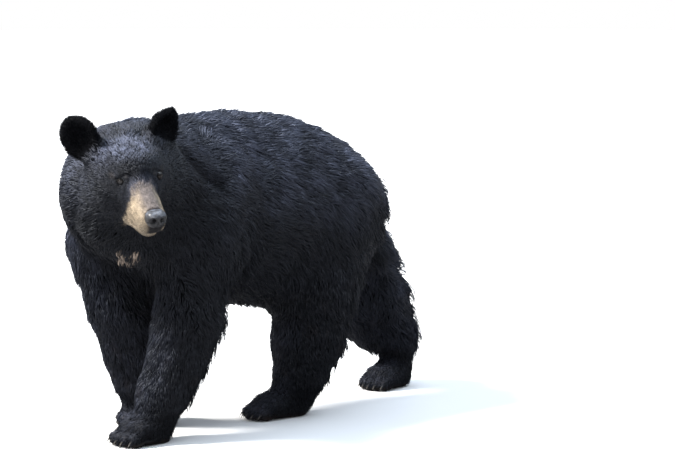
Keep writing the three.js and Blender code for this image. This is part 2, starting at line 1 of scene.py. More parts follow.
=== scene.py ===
# A black bear in mid stride with its head turned to its left, a still life-size figure.
# Metres, +Z up. The bear faces -Y and its left side is +X. The paws stand on z = 0.
import math

import bmesh
import bpy
import numpy as np
from mathutils import Matrix, Vector
from mathutils.bvhtree import BVHTree
from mathutils.kdtree import KDTree


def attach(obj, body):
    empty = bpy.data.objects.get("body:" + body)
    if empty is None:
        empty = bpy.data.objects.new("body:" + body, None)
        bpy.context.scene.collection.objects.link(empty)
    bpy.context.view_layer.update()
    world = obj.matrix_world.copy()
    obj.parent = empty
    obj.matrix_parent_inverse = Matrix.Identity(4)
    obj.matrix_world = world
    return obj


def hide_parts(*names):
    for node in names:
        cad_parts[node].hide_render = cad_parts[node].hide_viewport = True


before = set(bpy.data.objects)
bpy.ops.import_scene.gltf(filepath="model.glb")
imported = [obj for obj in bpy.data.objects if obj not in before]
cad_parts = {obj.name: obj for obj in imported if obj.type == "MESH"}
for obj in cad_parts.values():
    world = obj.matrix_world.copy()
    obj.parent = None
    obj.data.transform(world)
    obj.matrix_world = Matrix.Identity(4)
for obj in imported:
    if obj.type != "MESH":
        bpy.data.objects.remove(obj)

scene = bpy.context.scene
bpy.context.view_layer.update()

# ---------- where it stands ----------
# A plain pale studio floor that runs out of sight, a broad soft lamp high on the bear's right front, and
# the camera a little above the bear's ears, six metres off its left shoulder.

CAMERA_AT = Vector((4.23551, -4.39919, 1.031))
LOOKED_AT = Vector((0.22175, 0.03139, 0.52131))


def add_object(name, data):
    made = bpy.data.objects.new(name, data)
    scene.collection.objects.link(made)
    return made


def add_node(tree, kind, **settings):
    made = tree.nodes.new(kind)
    for key, value in settings.items():
        setattr(made, key, value)
    return made


def new_material(name, rough, gloss=0.5):
    """A new material, its node tree and its shader."""
    made = bpy.data.materials.new(name)
    made.use_nodes = True
    shader = made.node_tree.nodes["Principled BSDF"]
    shader.inputs["Roughness"].default_value = rough
    shader.inputs["Specular IOR Level"].default_value = gloss
    return made, made.node_tree, shader


camera = add_object("camera", bpy.data.cameras.new("camera"))
camera.data.sensor_width = 36.0
camera.data.lens = 124.8
camera.location = CAMERA_AT
camera.rotation_euler = (LOOKED_AT - CAMERA_AT).to_track_quat("-Z", "Y").to_euler()
scene.camera = camera
scene.view_settings.view_transform = "Standard"

bpy.ops.object.select_all(action="DESELECT")
bpy.ops.mesh.primitive_circle_add(vertices=96, radius=400.0, fill_type="NGON", location=(0, 0, -0.0005))
floor = bpy.context.object
floor.name = "floor"
floor_paint, tree, shader = new_material("floor_paint", 0.9, 0.0)
seen = add_node(tree, "ShaderNodeLightPath")
pale = add_node(tree, "ShaderNodeMix", data_type="RGBA")
pale.inputs[6].default_value = (0.26, 0.26, 0.27, 1)
pale.inputs[7].default_value = (0.90, 0.90, 0.90, 1)
tree.links.new(seen.outputs["Is Camera Ray"], pale.inputs[0])
tree.links.new(pale.outputs[2], shader.inputs["Base Color"])
floor.data.materials.append(floor_paint)

# The room lights the bear with a cool grey, while the camera sees it as white.
room = bpy.data.worlds.new("room")
scene.world = room
room.use_nodes = True
tree = room.node_tree
walls = tree.nodes["Background"]
walls.inputs["Color"].default_value = (0.86, 0.92, 1.0, 1)
walls.inputs["Strength"].default_value = 0.55
backdrop = add_node(tree, "ShaderNodeBackground")
backdrop.inputs["Color"].default_value = (1, 1, 1, 1)
either = add_node(tree, "ShaderNodeMixShader")
tree.links.new(add_node(tree, "ShaderNodeLightPath").outputs["Is Camera Ray"], either.inputs[0])
tree.links.new(walls.outputs[0], either.inputs[1])
tree.links.new(backdrop.outputs[0], either.inputs[2])
tree.links.new(either.outputs[0], tree.nodes["World Output"].inputs["Surface"])


def lamp(name, toward, strength, width, tint):
    """A soft lamp so far off that it lights the floor alike; toward points from the bear to the lamp."""
    made = add_object(name, bpy.data.lights.new(name, "SUN"))
    made.data.energy = strength
    made.data.angle = math.radians(width)
    made.data.color = tint
    made.rotation_euler = Vector(toward).to_track_quat("Z", "Y").to_euler()


lamp("key_lamp", (-0.75, -1.0, 1.5), 8.7, 16, (1.0, 0.97, 0.93))
lamp("top_lamp", (0.1, 0.3, 1.0), 2.6, 60, (0.76, 0.87, 1.0))
lamp("eye_lamp", (0.36, -0.91, 0.12), 0.5, 7, (1.0, 0.98, 0.96))

# ---------- skin ----------
# The hide that the coat grows from: one closed surface over head, trunk, legs and tail, in from the
# tips of the coat by the coat's depth. It follows the solids, smoothed, with the ears' cups kept.

HEAD_SIZE = 1.045
HEAD = (
    Matrix.Translation((0.09787, -0.58355, 0.677))
    @ Matrix.Rotation(math.radians(66.5), 4, "Z")
    @ Matrix.Rotation(math.radians(17.9), 4, "X")
    @ Matrix.Rotation(math.radians(-6.5), 4, "Y")
    @ Matrix.Scale(HEAD_SIZE, 4)
)
HEAD_TURN = np.array(HEAD.to_3x3())


def carried(points, matrix):
    """Points carried from one set of axes to another."""
    matrix = np.array(matrix)
    return points @ matrix[:3, :3].T + matrix[:3, 3]


def in_head(points):
    """Points in the head's own axes, in metres: x to its left, -y to the nose, z to the crown."""
    return carried(points, HEAD.inverted())


# Each part of the hide: depth of the coat, length and width of a tuft in millimetres, tufts to the cm2.
COAT = {
    "torso": (24, 50, 3.8, 4.7),
    "neck": (20, 42, 3.5, 6.4),
    "shoulder_left": (19, 38, 3.5, 6.2),
    "shoulder_right": (19, 38, 3.6, 4.8),
    "thigh_left": (21, 42, 3.8, 5.2),
    "thigh_right": (21, 42, 3.8, 4.6),
    "foreleg_left": (11, 30, 2.6, 9.0),
    "foreleg_right": (13, 27, 3.1, 6.0),
    "shank_left": (15, 31, 3.2, 6.4),
    "shank_right": (15, 31, 3.2, 6.0),
    "tail": (18, 44, 3.8, 5.0),
    "paw_fore_left": (5, 13, 2.2, 13.0),
    "paw_fore_right": (5, 13, 2.2, 10.0),
    "paw_hind_left": (5, 13, 2.2, 11.0),
    "paw_hind_right": (5, 13, 2.2, 10.0),
    "head": (8, 18, 2.2, 24.0),
    "ear_left": (3, 10, 1.9, 22.0),
    "ear_right": (3, 10, 1.9, 22.0),
    "muzzle": (1.5, 5.5, 1.0, 70.0),
    "jaw": (2.2, 7, 1.3, 44.0),
}
PAWS = [name for name in COAT if name.startswith("paw")]
VOXEL = 0.005

solids = bmesh.new()
solid_part = []
for name in COAT:
    start = len(solids.faces)
    solids.from_mesh(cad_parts[name].data)
    solid_part += [name] * (len(solids.faces) - start)
solids.faces.ensure_lookup_table()
outline = BVHTree.FromBMesh(solids)
bmesh.ops.remove_doubles(solids, verts=solids.verts, dist=1e-5)
solids.normal_update()
for vert in solids.verts:
    vert.co += vert.normal * 0.0004
hide_mesh = bpy.data.meshes.new("hide")
solids.to_mesh(hide_mesh)
solids.free()
hide = add_object("hide", hide_mesh)


def only(thing):
    """Selects one object alone and makes it the active one."""
    bpy.ops.object.select_all(action="DESELECT")
    thing.select_set(True)
    bpy.context.view_layer.objects.active = thing


def worked(thing, kind, **settings):
    """Gives the active object a modifier and applies it."""
    made = thing.modifiers.new(kind.lower(), kind)
    for key, value in settings.items():
        setattr(made, key, value)
    bpy.ops.object.modifier_apply(modifier=made.name)


def on_all_faces(operator, **settings):
    """One edit-mode operator on all that the active object has."""
    bpy.ops.object.mode_set(mode="EDIT")
    bpy.ops.mesh.select_all(action="SELECT")
    operator(**settings)
    bpy.ops.object.mode_set(mode="OBJECT")


only(hide)
worked(hide, "REMESH", mode="VOXEL", voxel_size=VOXEL)
on_all_faces(bpy.ops.mesh.separate, type="LOOSE")
shells = sorted(bpy.context.selected_objects, key=lambda o: -len(o.data.vertices))
hide = shells[0]
for scrap in shells[1:]:
    bpy.data.objects.remove(scrap)
bpy.ops.object.select_all(action="DESELECT")
hide.name = "hide"


def array_of(items, key, width, kind=np.float64):
    values = np.zeros(len(items) * width, kind)
    items.foreach_get(key, values)
    return values.reshape(-1, width) if width > 1 else values


def spread(values, share, passes):
    """Each value moves towards the mean of its neighbours on the hide."""
    for _ in range(passes):
        for column in range(values.shape[1]):
            total = np.bincount(edges[:, 0], values[edges[:, 1], column], len(values))
            total += np.bincount(edges[:, 1], values[edges[:, 0], column], len(values))
            values[:, column] += share * (total / degree - values[:, column])
    return values


def even_out(points, softness, passes):
    """Smooths the facets away without shrinking the form: each pass in is followed by one out."""
    for turn in range(passes):
        points = spread(points, (0.62 * softness) if turn % 2 == 0 else (-0.60 * softness), 1)
    return points


part_names = list(COAT)
part_number = {name: i for i, name in enumerate(part_names)}


def read_hide():
    """The hide's points and lines, the lines at each point, and the part of the solids that lies nearest."""
    points = array_of(hide.data.vertices, "co", 3)
    lines = array_of(hide.data.edges, "vertices", 2, np.int32)
    lines_at = np.bincount(lines.ravel(), minlength=len(points)).astype(float)
    nearest = [outline.find_nearest(Vector(p))[2] for p in points]
    return points, lines, lines_at, np.array([part_number[solid_part[face]] for face in nearest])


def on_parts(*names):
    return np.isin(part, [part_number[name] for name in names])


surface, edges, degree, part = read_hide()
SOFTNESS = {
    "torso": 0.95, "neck": 0.95, "shoulder": 0.95, "thigh": 0.95, "foreleg": 0.7, "shank": 0.7,
    "tail": 0.8, "paw": 0.16, "head": 0.7, "ear": 0.25, "muzzle": 0.5, "jaw": 0.4,
}
soft = np.array([SOFTNESS[name.split("_")[0]] for name in part_names])[part]
soft = spread(soft.reshape(-1, 1), 0.5, 12)[:, 0]
surface = even_out(surface, soft, 40)

# The crease between the throat and the right shoulder is filled, as loose skin fills it.
THROAT_FOLD = (-0.16, -0.45, 0.47)


def bell(values, middle, width):
    """1 at the middle, falling away on both sides over the width."""
    return np.exp(-(((values - middle) / width) ** 2))


def slope(values, start, length):
    """0 up to the start, rising evenly to 1 over the length."""
    return np.clip((values - start) / length, 0, 1)


def step(values, low, high):
    """0 up to low, rising softly to 1 at high."""
    t = np.clip((values - low) / (high - low), 0, 1)
    return t * t * (3 - 2 * t)


def between(values, low, full, still_full, high):
    """0 outside low and high, rising softly to 1 from full to still_full."""
    return step(values, low, full) * (1 - step(values, still_full, high))


fold = bell(np.linalg.norm(surface - np.array(THROAT_FOLD), axis=1), 0, 0.10)
surface = spread(surface, 0.6 * np.clip(fold * 1.6, 0, 1), 60)

# The face is meshed finer than the trunk, and finest on the muzzle and about the eyes.
EYE_SIDE = {"eye_left": 1, "eye_right": -1}
EYE_AT = {name: tuple(HEAD @ Vector((side * 0.0438 + 0.0030, -0.0779, 0.0180)))
          for name, side in EYE_SIDE.items()}
hide.data.vertices.foreach_set("co", surface.ravel())
sheet = bmesh.new()
sheet.from_mesh(hide.data)
to_head = HEAD.inverted()


def mesh_finer(chosen):
    """Divides the faces that are chosen by their middle, in the head's axes and in the bear's."""
    middles = {face: face.calc_center_median() for face in sheet.faces}
    lines = {edge for face, here in middles.items() if chosen(to_head @ here, here) for edge in face.edges}
    bmesh.ops.subdivide_edges(sheet, edges=list(lines), cuts=1, use_grid_fill=True)


mesh_finer(lambda at, _: at.y < -0.03 and abs(at.x) < 0.1 and -0.13 < at.z < 0.10)
mesh_finer(lambda at, here: (at.y < -0.07 and at.z < 0.0) or at.y < -0.12
           or min((here - Vector(eye)).length for eye in EYE_AT.values()) < 0.032)
sheet.to_mesh(hide.data)
sheet.free()
surface, edges, degree, part = read_hide()
on_head = on_parts("head", "muzzle", "jaw")
face_soft = 0.8 * on_head * slope(-in_head(surface)[:, 1], 0.02, 0.03)
surface = even_out(surface, face_soft, 24)


def unit(ways):
    return ways / np.maximum(np.linalg.norm(ways, axis=1, keepdims=True), 1e-9)


hide.data.vertices.foreach_set("co", surface.ravel())
hide.data.update()
facing = unit(spread(array_of(hide.data.vertices, "normal", 3), 0.5, 10))
of_part = np.array([COAT[name] for name in part_names], float)[part]
coat = spread(of_part.copy(), 0.5, 90)

# Over the head the coat shortens from the ruff to the brow and again to the nose.
HEAD_COAT_AT = (-0.10, 0.02, 0.075, 0.12, 0.20)
HEAD_COAT = (
    (15, 9.5, 4.4, 2.2, 1.3),
    (32, 23, 13, 8.0, 5.0),
    (3.6, 3.1, 2.2, 1.5, 1.1),
    (7.5, 10.5, 19, 36, 60),
)
RUFF_SHARE = (0.45, 0.35, 0, 0)
local = in_head(surface)
ahead = -local[:, 1]
ruff = step(-local[:, 2], -0.03, 0.06) * (1 - step(ahead, 0.0, 0.06))
for column, numbers in enumerate(HEAD_COAT):
    values = np.interp(ahead, HEAD_COAT_AT, numbers) * (1 + RUFF_SHARE[column] * ruff)
    coat[on_head, column] = values[on_head]
on_ear = on_parts("ear_left", "ear_right")
coat[on_ear] = of_part[on_ear]
coat = spread(coat, 0.5, 24)

# The eyes' own axes: where each lies, the way from its nose side to its outer side, up, and out.
eye_axes = {}
for name, side in EYE_SIDE.items():
    out = (HEAD.to_3x3() @ Vector((side * 0.36, -0.92, 0.10))).normalized()
    over = HEAD.to_3x3() @ Vector((0, 0, 1))
    over = (over - out * over.dot(out)).normalized()
    eye_axes[name] = (Vector(EYE_AT[name]), over.cross(out).normalized() * side, over, out)


def about_eye(name, points):
    """Distance from the line of sight, and how far towards the nose, up and out, of points about an eye."""
    centre, inner, over, out = (np.array(v) for v in eye_axes[name])
    from_eye = points - centre
    nose_way, high, far = -from_eye @ inner, from_eye @ over, from_eye @ out
    return np.hypot(nose_way, high), nose_way, high, far


bare = np.zeros(len(surface))
for name in EYE_AT:
    far, inner, high, out = about_eye(name, surface)
    in_front = out > -0.012
    close = (1 - step(far, 0.020, 0.045)) * in_front
    closer = (1 - step(far, 0.014, 0.040)) * in_front
    for column, (number, share) in enumerate(((1.2, close), (4.5, closer), (1.2, close), (60, close))):
        coat[:, column] += (number - coat[:, column]) * share
    opening = np.hypot(inner * 0.82, high * 1.15)
    bare = np.maximum(bare, (1 - step(opening, 0.0070, 0.0090)) * in_front)
sole = slope(-facing[:, 2], 0.25, 0.4) * (surface[:, 2] < 0.03)
bare = np.maximum(bare, sole)
depth = coat[:, 0] * 0.001 * (1 - 0.94 * sole)

# The coat is fuller down the front of the right legs and on the toes, and thinner on the crown. Each
# fullness goes by the part, by the side it faces and by the height over the floor.
TO_THE_RIGHT_FRONT = (-0.74, -0.67, 0.0)
OVER_THE_TOES = (-0.10, -0.90, 0.42)
level_at = surface[:, 2]
forward_side = facing @ np.array(TO_THE_RIGHT_FRONT)
full = on_parts("thigh_right", "shank_right") * step(forward_side, 0.1, 0.7)
full *= between(level_at, 0.095, 0.125, 0.21, 0.30)
side_full = on_parts("shoulder_right", "foreleg_right", "paw_fore_right") * step(forward_side, 0.2, 0.8)
side_full *= (0.40 + 0.55 * (step(level_at, 0.10, 0.15) - step(level_at, 0.18, 0.26))
              + 0.5 * between(level_at, 0.34, 0.40, 0.46, 0.55))
shin = on_parts("thigh_left", "shank_left") * step(forward_side, 0.2, 0.8)
shin *= 1 - 2 * step(level_at, 0.22, 0.34)
calf = on_parts("foreleg_left", "shoulder_left") * step(-forward_side, 0.2, 0.8)
calf *= between(level_at, 0.12, 0.17, 0.20, 0.25) - 1.1 * between(level_at, 0.25, 0.30, 0.36, 0.44)
heel = on_parts("foreleg_left", "paw_fore_left") * step(-forward_side, 0.2, 0.8)
heel *= 1 - step(level_at, 0.09, 0.13)
toes = on_parts(*PAWS) * step(facing @ np.array(OVER_THE_TOES), 0.3, 0.9)
toes *= between(level_at, 0.012, 0.030, 0.045, 0.065)
top_line = on_parts("torso") * step(facing[:, 2], 0.2, 0.7) * between(surface[:, 1], -0.25, -0.10, 0.26, 0.40)
crown = on_head * step(local[:, 2], 0.05, 0.10)
swell = 0.044 * full + 0.018 * side_full + 0.006 * shin + 0.009 * calf - 0.007 * heel + 0.012 * toes
swell += 0.005 * top_line - (0.006 + 0.09 * local[:, 0]) * crown
swell, full = spread(np.stack([swell, full], 1), 0.5, 30).T
depth -= swell
coat[:, 0] += 5 * full
coat[:, 1] += 8 * full
skin_points = surface - facing * depth[:, None]

# ---------- face ----------
# The hide of the face is drawn in and out by a few millimetres: the line of the mouth with its rolled upper
# lip, the hollow along the muzzle, the sockets with the fold of the brow above them, and the ears' edges.

MOUTH_AHEAD = (0.074, 0.10, 0.13, 0.17, 0.20)
MOUTH_HEIGHT = (-0.0845, -0.0790, -0.0745, -0.0720, -0.0700)

at = in_head(skin_points)
ahead, height, aside = -at[:, 1], at[:, 2], np.abs(at[:, 0])
from_mouth = height - np.interp(ahead, MOUTH_AHEAD, MOUTH_HEIGHT)
mouth = step(ahead, 0.072, 0.082) * (height > -0.105)
hollow = between(ahead, 0.085, 0.115, 0.170, 0.195) * step(aside, 0.010, 0.022)
ridge = between(ahead, 0.09, 0.12, 0.175, 0.195) * (height > -0.01)
philtrum = step(ahead, 0.180, 0.195) * bell(aside, 0, 0.0016) * (height < -0.03) * (from_mouth > 0)
move = -0.0024 * mouth * bell(from_mouth, 0, 0.0016)
move += 0.0020 * mouth * bell(from_mouth, 0.0062, 0.0040)
move -= 0.0012 * mouth * bell(from_mouth, -0.0050, 0.0030)
move -= 0.0052 * hollow * bell(height, -0.006, 0.022)
move += 0.0016 * ridge * bell(aside, 0.018, 0.007)
move += 0.0030 * step(ahead, 0.166, 0.184) * step(height, -0.042, -0.030)
move -= 0.0022 * philtrum
skin_points += facing * (move * on_head)[:, None] * HEAD_SIZE
low_jaw = step(ahead, 0.045, 0.10) * step(-height, 0.046, 0.078) * on_head
skin_points[:, 2] -= 0.0065 * low_jaw
at = in_head(skin_points)
corner_pad = bell(np.abs(at[:, 0]), 0.031, 0.020) * bell(at[:, 1], -0.084, 0.018)
corner_pad *= bell(at[:, 2], -0.076, 0.017)
skin_points += facing * (0.0075 * corner_pad * on_head)[:, None]
broad = 0.24 * step(-at[:, 2], 0.050, 0.078) * step(-at[:, 1], 0.085, 0.13) * on_head
skin_points += (at[:, 0] * broad)[:, None] * HEAD_TURN[:, 0][None]

# The deep fold between the ruff of the cheeks and the neck, all round but the nape.
fold_at = bell(ahead + 0.25 * np.clip(-height - 0.06, 0, 0.1), -0.056, 0.015)
fold_at *= (1 - step(height, -0.01, 0.05)) * on_parts("head", "neck")
skin_points -= facing * (0.014 * fold_at)[:, None]
coat[:, 0] *= 1 - 0.45 * fold_at

# The line of the fold over each eye, from its outer end, in metres towards the nose and up.
BROW_FOLD = ((-0.013, 0.005), (0.014, 0.0195), (0.025, 0.0165))
BROW_BULGE = ((-0.014, 0.011), (0.014, 0.026))


def beside_line(inner, high, start, end):
    """Distance from a short straight line on the face, given towards the nose and up from an eye."""
    run, rise = end[0] - start[0], end[1] - start[1]
    share = slope((inner - start[0]) * run + (high - start[1]) * rise, 0, run * run + rise * rise)
    return np.hypot(inner - start[0] - share * run, high - start[1] - share * rise)


for name in EYE_AT:
    far, inner, high, out = about_eye(name, skin_points)
    crease = np.minimum(beside_line(inner, high, *BROW_FOLD[:2]), beside_line(inner, high, *BROW_FOLD[1:]))
    below = np.clip(-high / np.maximum(far, 1e-6), 0, 1)
    sink = -0.0060 * np.exp(-((far / 0.0078) ** 4))
    sink -= 0.0024 * bell(crease, 0, 0.0022)
    sink += 0.0006 * bell(beside_line(inner, high, *BROW_BULGE), 0, 0.0034)
    sink -= 0.0022 * bell(inner, 0.025, 0.0045) * bell(high, 0.0185, 0.0045)
    sink += 0.0014 * bell(inner, 0.015, 0.0045) * bell(high, 0.0115, 0.0045)
    sink += 0.0006 * below * bell(far, 0.0160, 0.0035)
    sink -= 0.0016 * bell(inner, 0.014, 0.005) * bell(high + 0.3 * (inner - 0.010), -0.002, 0.0022)
    skin_points += np.array(eye_axes[name][3]) * (sink * (out > -0.02) * (far < 0.055))[:, None]

# Each ear: the middle of its cup in the head's axes, how far it turns and how far it tips over.
EARS = {"ear_right": ((-0.101, 0.020, 0.080), -36, -22), "ear_left": ((0.093, 0.026, 0.084), 30, 46)}
ear_stand = {name: HEAD @ Matrix.Translation(place) @ Matrix.Rotation(math.radians(turn), 4, "Z")
             @ Matrix.Rotation(math.radians(tilt), 4, "Y") for name, (place, turn, tilt) in EARS.items()}


def in_ear(name, points):
    """Points in an ear's own axes: x across it to the bear's left, -y out of its cup, z to its tip."""
    return carried(points, ear_stand[name].inverted())


def shape_ear(name, shaped):
    chosen = on_parts(name)[:, None]
    return np.where(chosen, carried(shaped(in_ear(name, skin_points)), ear_stand[name]), skin_points)


def rounder(ear):
    """The right ear, seen into its cup, is a little larger, about its root."""
    low = np.array([0, 0, 0.040])
    return np.where([True, False, True], (ear + low) * 1.075 - low, ear)


def pointed(ear):
    """The left ear, seen from its edge, draws in towards its tip on the head's side."""
    ear[:, 0] *= 1 - 0.50 * step(ear[:, 2], 0.000, 0.056) * (ear[:, 0] < 0)
    return ear


skin_points = shape_ear("ear_right", rounder)
skin_points = shape_ear("ear_left", pointed)

# ---------- lie of the coat ----------
# Hair lies back from the nose over the head, back along the trunk and down over the flanks, down the legs,
# and forward over the feet. Listed places and the way the hair lies there; between them it turns evenly.

LIE = {
    "torso": [
        ((-0.067, -0.30, 0.79), (0, 1, -0.05)),
        ((-0.067, 0.00, 0.80), (0, 1, 0)),
        ((-0.067, 0.25, 0.77), (0, 1, -0.35)),
        ((-0.067, 0.42, 0.62), (0, 0.35, -1)),
        ((0.06, -0.20, 0.76), (0.3, 1, -0.3)),
        ((0.06, 0.10, 0.75), (0.3, 1, -0.3)),
        ((-0.20, -0.20, 0.76), (-0.3, 1, -0.3)),
        ((-0.20, 0.10, 0.75), (-0.3, 1, -0.3)),
        ((0.14, -0.20, 0.60), (0, 0.85, -0.55)),
        ((0.15, 0.05, 0.55), (0, 0.9, -0.5)),
        ((0.14, 0.30, 0.60), (0, 0.7, -0.8)),
        ((-0.28, -0.20, 0.60), (0, 0.85, -0.55)),
        ((-0.28, 0.05, 0.55), (0, 0.9, -0.5)),
        ((-0.28, 0.30, 0.60), (0, 0.7, -0.8)),
        ((0.12, 0.00, 0.36), (-0.2, 0.8, -0.7)),
        ((-0.26, 0.00, 0.36), (0.2, 0.8, -0.7)),
        ((-0.067, -0.20, 0.31), (0, 1, -0.1)),
        ((-0.067, 0.10, 0.28), (0, 1, 0)),
        ((0.00, -0.45, 0.50), (0, 0.2, -1)),
    ],
    "neck": [
        ((0.02, -0.42, 0.76), (-0.45, 0.9, 0)),
        ((0.13, -0.42, 0.62), (-0.25, 0.75, -0.7)),
        ((-0.18, -0.42, 0.62), (-0.1, 0.7, -0.7)),
        ((0.05, -0.58, 0.50), (-0.15, 0.25, -1)),
    ],
    "shoulder_left": [((0.12, -0.30, 0.60), (0, 0.5, -0.9)), ((0.16, -0.33, 0.45), (0, 0.35, -1)),
                      ((0.00, -0.43, 0.45), (0, 0.15, -1)), ((0.07, -0.24, 0.38), (0, 0.5, -1))],
    "shoulder_right": [((-0.26, -0.30, 0.60), (0, 0.5, -0.9)), ((-0.28, -0.36, 0.45), (0, 0.35, -1)),
                       ((-0.15, -0.45, 0.45), (0, 0.15, -1)), ((-0.18, -0.26, 0.38), (0, 0.5, -1))],
    "foreleg_left": [((0.06, -0.30, 0.25), (0, 0.4, -1)), ((0.06, -0.46, 0.22), (0, -0.2, -1))],
    "foreleg_right": [((-0.17, -0.26, 0.25), (0, 0.5, -1)), ((-0.17, -0.42, 0.25), (0, 0.3, -1))],
    "paw_fore_left": [((0.04, -0.50, 0.05), (-0.1, -1, -0.55)), ((0.045, -0.43, 0.04), (0, 0.1, -1))],
    "paw_fore_right": [((-0.15, -0.30, 0.05), (0.1, -1, -0.55)), ((-0.157, -0.22, 0.04), (0, 0.1, -1))],
    "thigh_left": [((0.14, 0.20, 0.50), (0, 0.5, -0.9)), ((0.15, 0.12, 0.36), (0, 0.2, -1)),
                   ((0.05, 0.28, 0.40), (0, 0.7, -0.8))],
    "shank_left": [((0.10, 0.10, 0.20), (0, 0.2, -1)), ((0.04, 0.20, 0.20), (0, 0.6, -0.8))],
    "paw_hind_left": [((0.01, -0.01, 0.05), (-0.12, -1, -0.5)), ((0.02, 0.08, 0.04), (0, 0.1, -1))],
    "thigh_right": [((-0.20, 0.40, 0.50), (0, 0.6, -0.8)), ((-0.15, 0.60, 0.42), (0, 0.6, -0.9)),
                    ((-0.20, 0.44, 0.34), (0, 0.5, -0.9))],
    "shank_right": [((-0.15, 0.60, 0.25), (0.1, 0.35, -0.9)), ((-0.12, 0.66, 0.15), (0.05, 0.35, -0.9))],
    "paw_hind_right": [((-0.10, 0.58, 0.05), (0.08, -1, -0.5)), ((-0.11, 0.65, 0.05), (0, 0.1, -1))],
    "tail": [((-0.05, 0.45, 0.56), (0.08, 0.62, -0.78))],
}
lie = np.zeros_like(surface)
for name, anchors in LIE.items():
    mine = on_parts(name)
    for at, way in anchors:
        way = np.array(way, float) / np.linalg.norm(way)
        far = np.linalg.norm(surface[mine] - np.array(at), axis=1)
        lie[mine] += way / (far[:, None] ** 2 + 0.002) ** 1.5

# Over the head the hair fans out from a point before the nose, and round an ear from below its root.
BEFORE_NOSE = (0, -0.225, -0.035)
BELOW_EAR = (0, 0, -0.045)
local = in_head(surface)
away = unit(local - np.array(BEFORE_NOSE))
away[:, 2] -= 0.55 * slope(-local[:, 2], -0.03, 0.08)
away[:, 1] += 0.35
lie[on_head] = away[on_head] @ HEAD_TURN.T
for name in EARS:
    mine = on_parts(name)
    fan = (in_ear(name, surface[mine]) - np.array(BELOW_EAR)) * (1, 0.3, 1)
    lie[mine] = fan @ np.array(ear_stand[name].to_3x3()).T


def flat_on(ways, upright):
    """Ways turned to lie along the surface."""
    return unit(ways - upright * (ways * upright).sum(1, keepdims=True))


lie = flat_on(lie, facing)
for _ in range(30):
    lie = flat_on(spread(lie, 0.5, 1), facing)

# The lie wanders a little from place to place, and the coat stands a little deeper here than there.
rng = np.random.default_rng(11)
wander = spread(rng.standard_normal((len(surface), 3)), 0.5, 70)
wander /= wander.std(0)
calm = on_head | on_parts("foreleg_left", "foreleg_right", "paw_fore_left", "shank_left")
lie = flat_on(lie + wander * np.where(calm, 0.10, 0.22)[:, None], facing)
uneven = spread(rng.standard_normal((len(surface), 1)), 0.5, 36)[:, 0]
uneven = np.clip(1 + 0.12 * uneven / uneven.std(), 0.7, 1.12)

hide.data.vertices.foreach_set("co", skin_points.ravel())
hide.data.update()
hide.data.calc_loop_triangles()
triangles = array_of(hide.data.loop_triangles, "vertices", 3, np.int32)
skin_tree = BVHTree.FromPolygons(skin_points.tolist(), triangles.tolist())

# ---------- colours of the animal, with painted sheen and shade ---
# Black guard hair with a painted blue-grey sheen where it faces the sky and the key lamp, a tan muzzle,
# brown spots and painted shade and sheen by the eyes, and a small cream blaze on the chest. Skin and coat
# share them.


def feed(socket, given):
    """Links a Value to a socket, or sets a number, place or colour on it."""
    if isinstance(given, Value):
        given.tree.links.new(given.socket, socket)
    else:
        socket.default_value = given


def worked_out(tree, how, *values, clamp=False):
    made = add_node(tree, "ShaderNodeMath", operation=how, use_clamp=clamp)
    for socket, value in zip(made.inputs, values):
        feed(socket, value)
    return Value(made.outputs[0])


class Value:
    """What one socket gives, to reckon with as with a number. Each sum is a node in its tree."""

    def __init__(self, socket):
        self.socket = socket
        self.tree = socket.id_data

    def __add__(self, other):
        return worked_out(self.tree, "ADD", self, other)

    def __sub__(self, other):
        return worked_out(self.tree, "SUBTRACT", self, other)

    def __rsub__(self, other):
        return worked_out(self.tree, "SUBTRACT", other, self)

    def __mul__(self, other):
        return worked_out(self.tree, "MULTIPLY", self, other)

    def __abs__(self):
        return worked_out(self.tree, "ABSOLUTE", self)

    def at_least(self, other):
        return worked_out(self.tree, "MAXIMUM", self, other)

    def at_most(self, other):
        return worked_out(self.tree, "MINIMUM", self, other)

    def ramp(self, low, high, start=0.0, end=1.0):
        """Soft change from start to end as this goes from low to high."""
        made = add_node(self.tree, "ShaderNodeMapRange", interpolation_type="SMOOTHSTEP")
        for socket, value in zip(made.inputs, (self, low, high, start, end)):
            feed(socket, value)
        return Value(made.outputs[0])

    def blend(self, a, b):
        """Colour a where this is 0, b where it is 1."""
        made = add_node(self.tree, "ShaderNodeMix", data_type="RGBA")
        for number, value in ((0, self), (6, a), (7, b)):
            feed(made.inputs[number], value)
        return Value(made.outputs[2])

    def vector(self, how, other):
        made = add_node(self.tree, "ShaderNodeVectorMath", operation=how)
        feed(made.inputs[0], self)
        feed(made.inputs[1], other)
        return Value(made.outputs["Vector" if how == "SUBTRACT" else "Value"])

    def noise(self, scale, detail=2.0):
        made = add_node(self.tree, "ShaderNodeTexNoise")
        for key, value in (("Vector", self), ("Scale", scale), ("Detail", detail)):
            feed(made.inputs[key], value)
        return Value(made.outputs["Fac"])

    def parts(self):
        made = add_node(self.tree, "ShaderNodeSeparateXYZ")
        feed(made.inputs[0], self)
        return [Value(socket) for socket in made.outputs]

    def seen_from(self, stand, size=1.0):
        """This place in the axes of the head or of an eye."""
        made = add_node(self.tree, "ShaderNodeMapping", vector_type="TEXTURE")
        settings = (("Vector", self), ("Location", stand.to_translation()), ("Rotation", stand.to_euler()),
                    ("Scale", (size, size, size)))
        for key, value in settings:
            feed(made.inputs[key], value)
        return Value(made.outputs[0])


def new_group(name, **inputs):
    """A node group that gives a colour: the group, its inputs, and the socket for the colour."""
    made = bpy.data.node_groups.new(name, "ShaderNodeTree")
    for key, kind in inputs.items():
        made.interface.new_socket(key, in_out="INPUT", socket_type="NodeSocket" + kind)
    made.interface.new_socket("Color", in_out="OUTPUT", socket_type="NodeSocketColor")
    given = add_node(made, "NodeGroupInput")
    return made, [Value(given.outputs[key]) for key in inputs], add_node(made, "NodeGroupOutput").inputs[0]
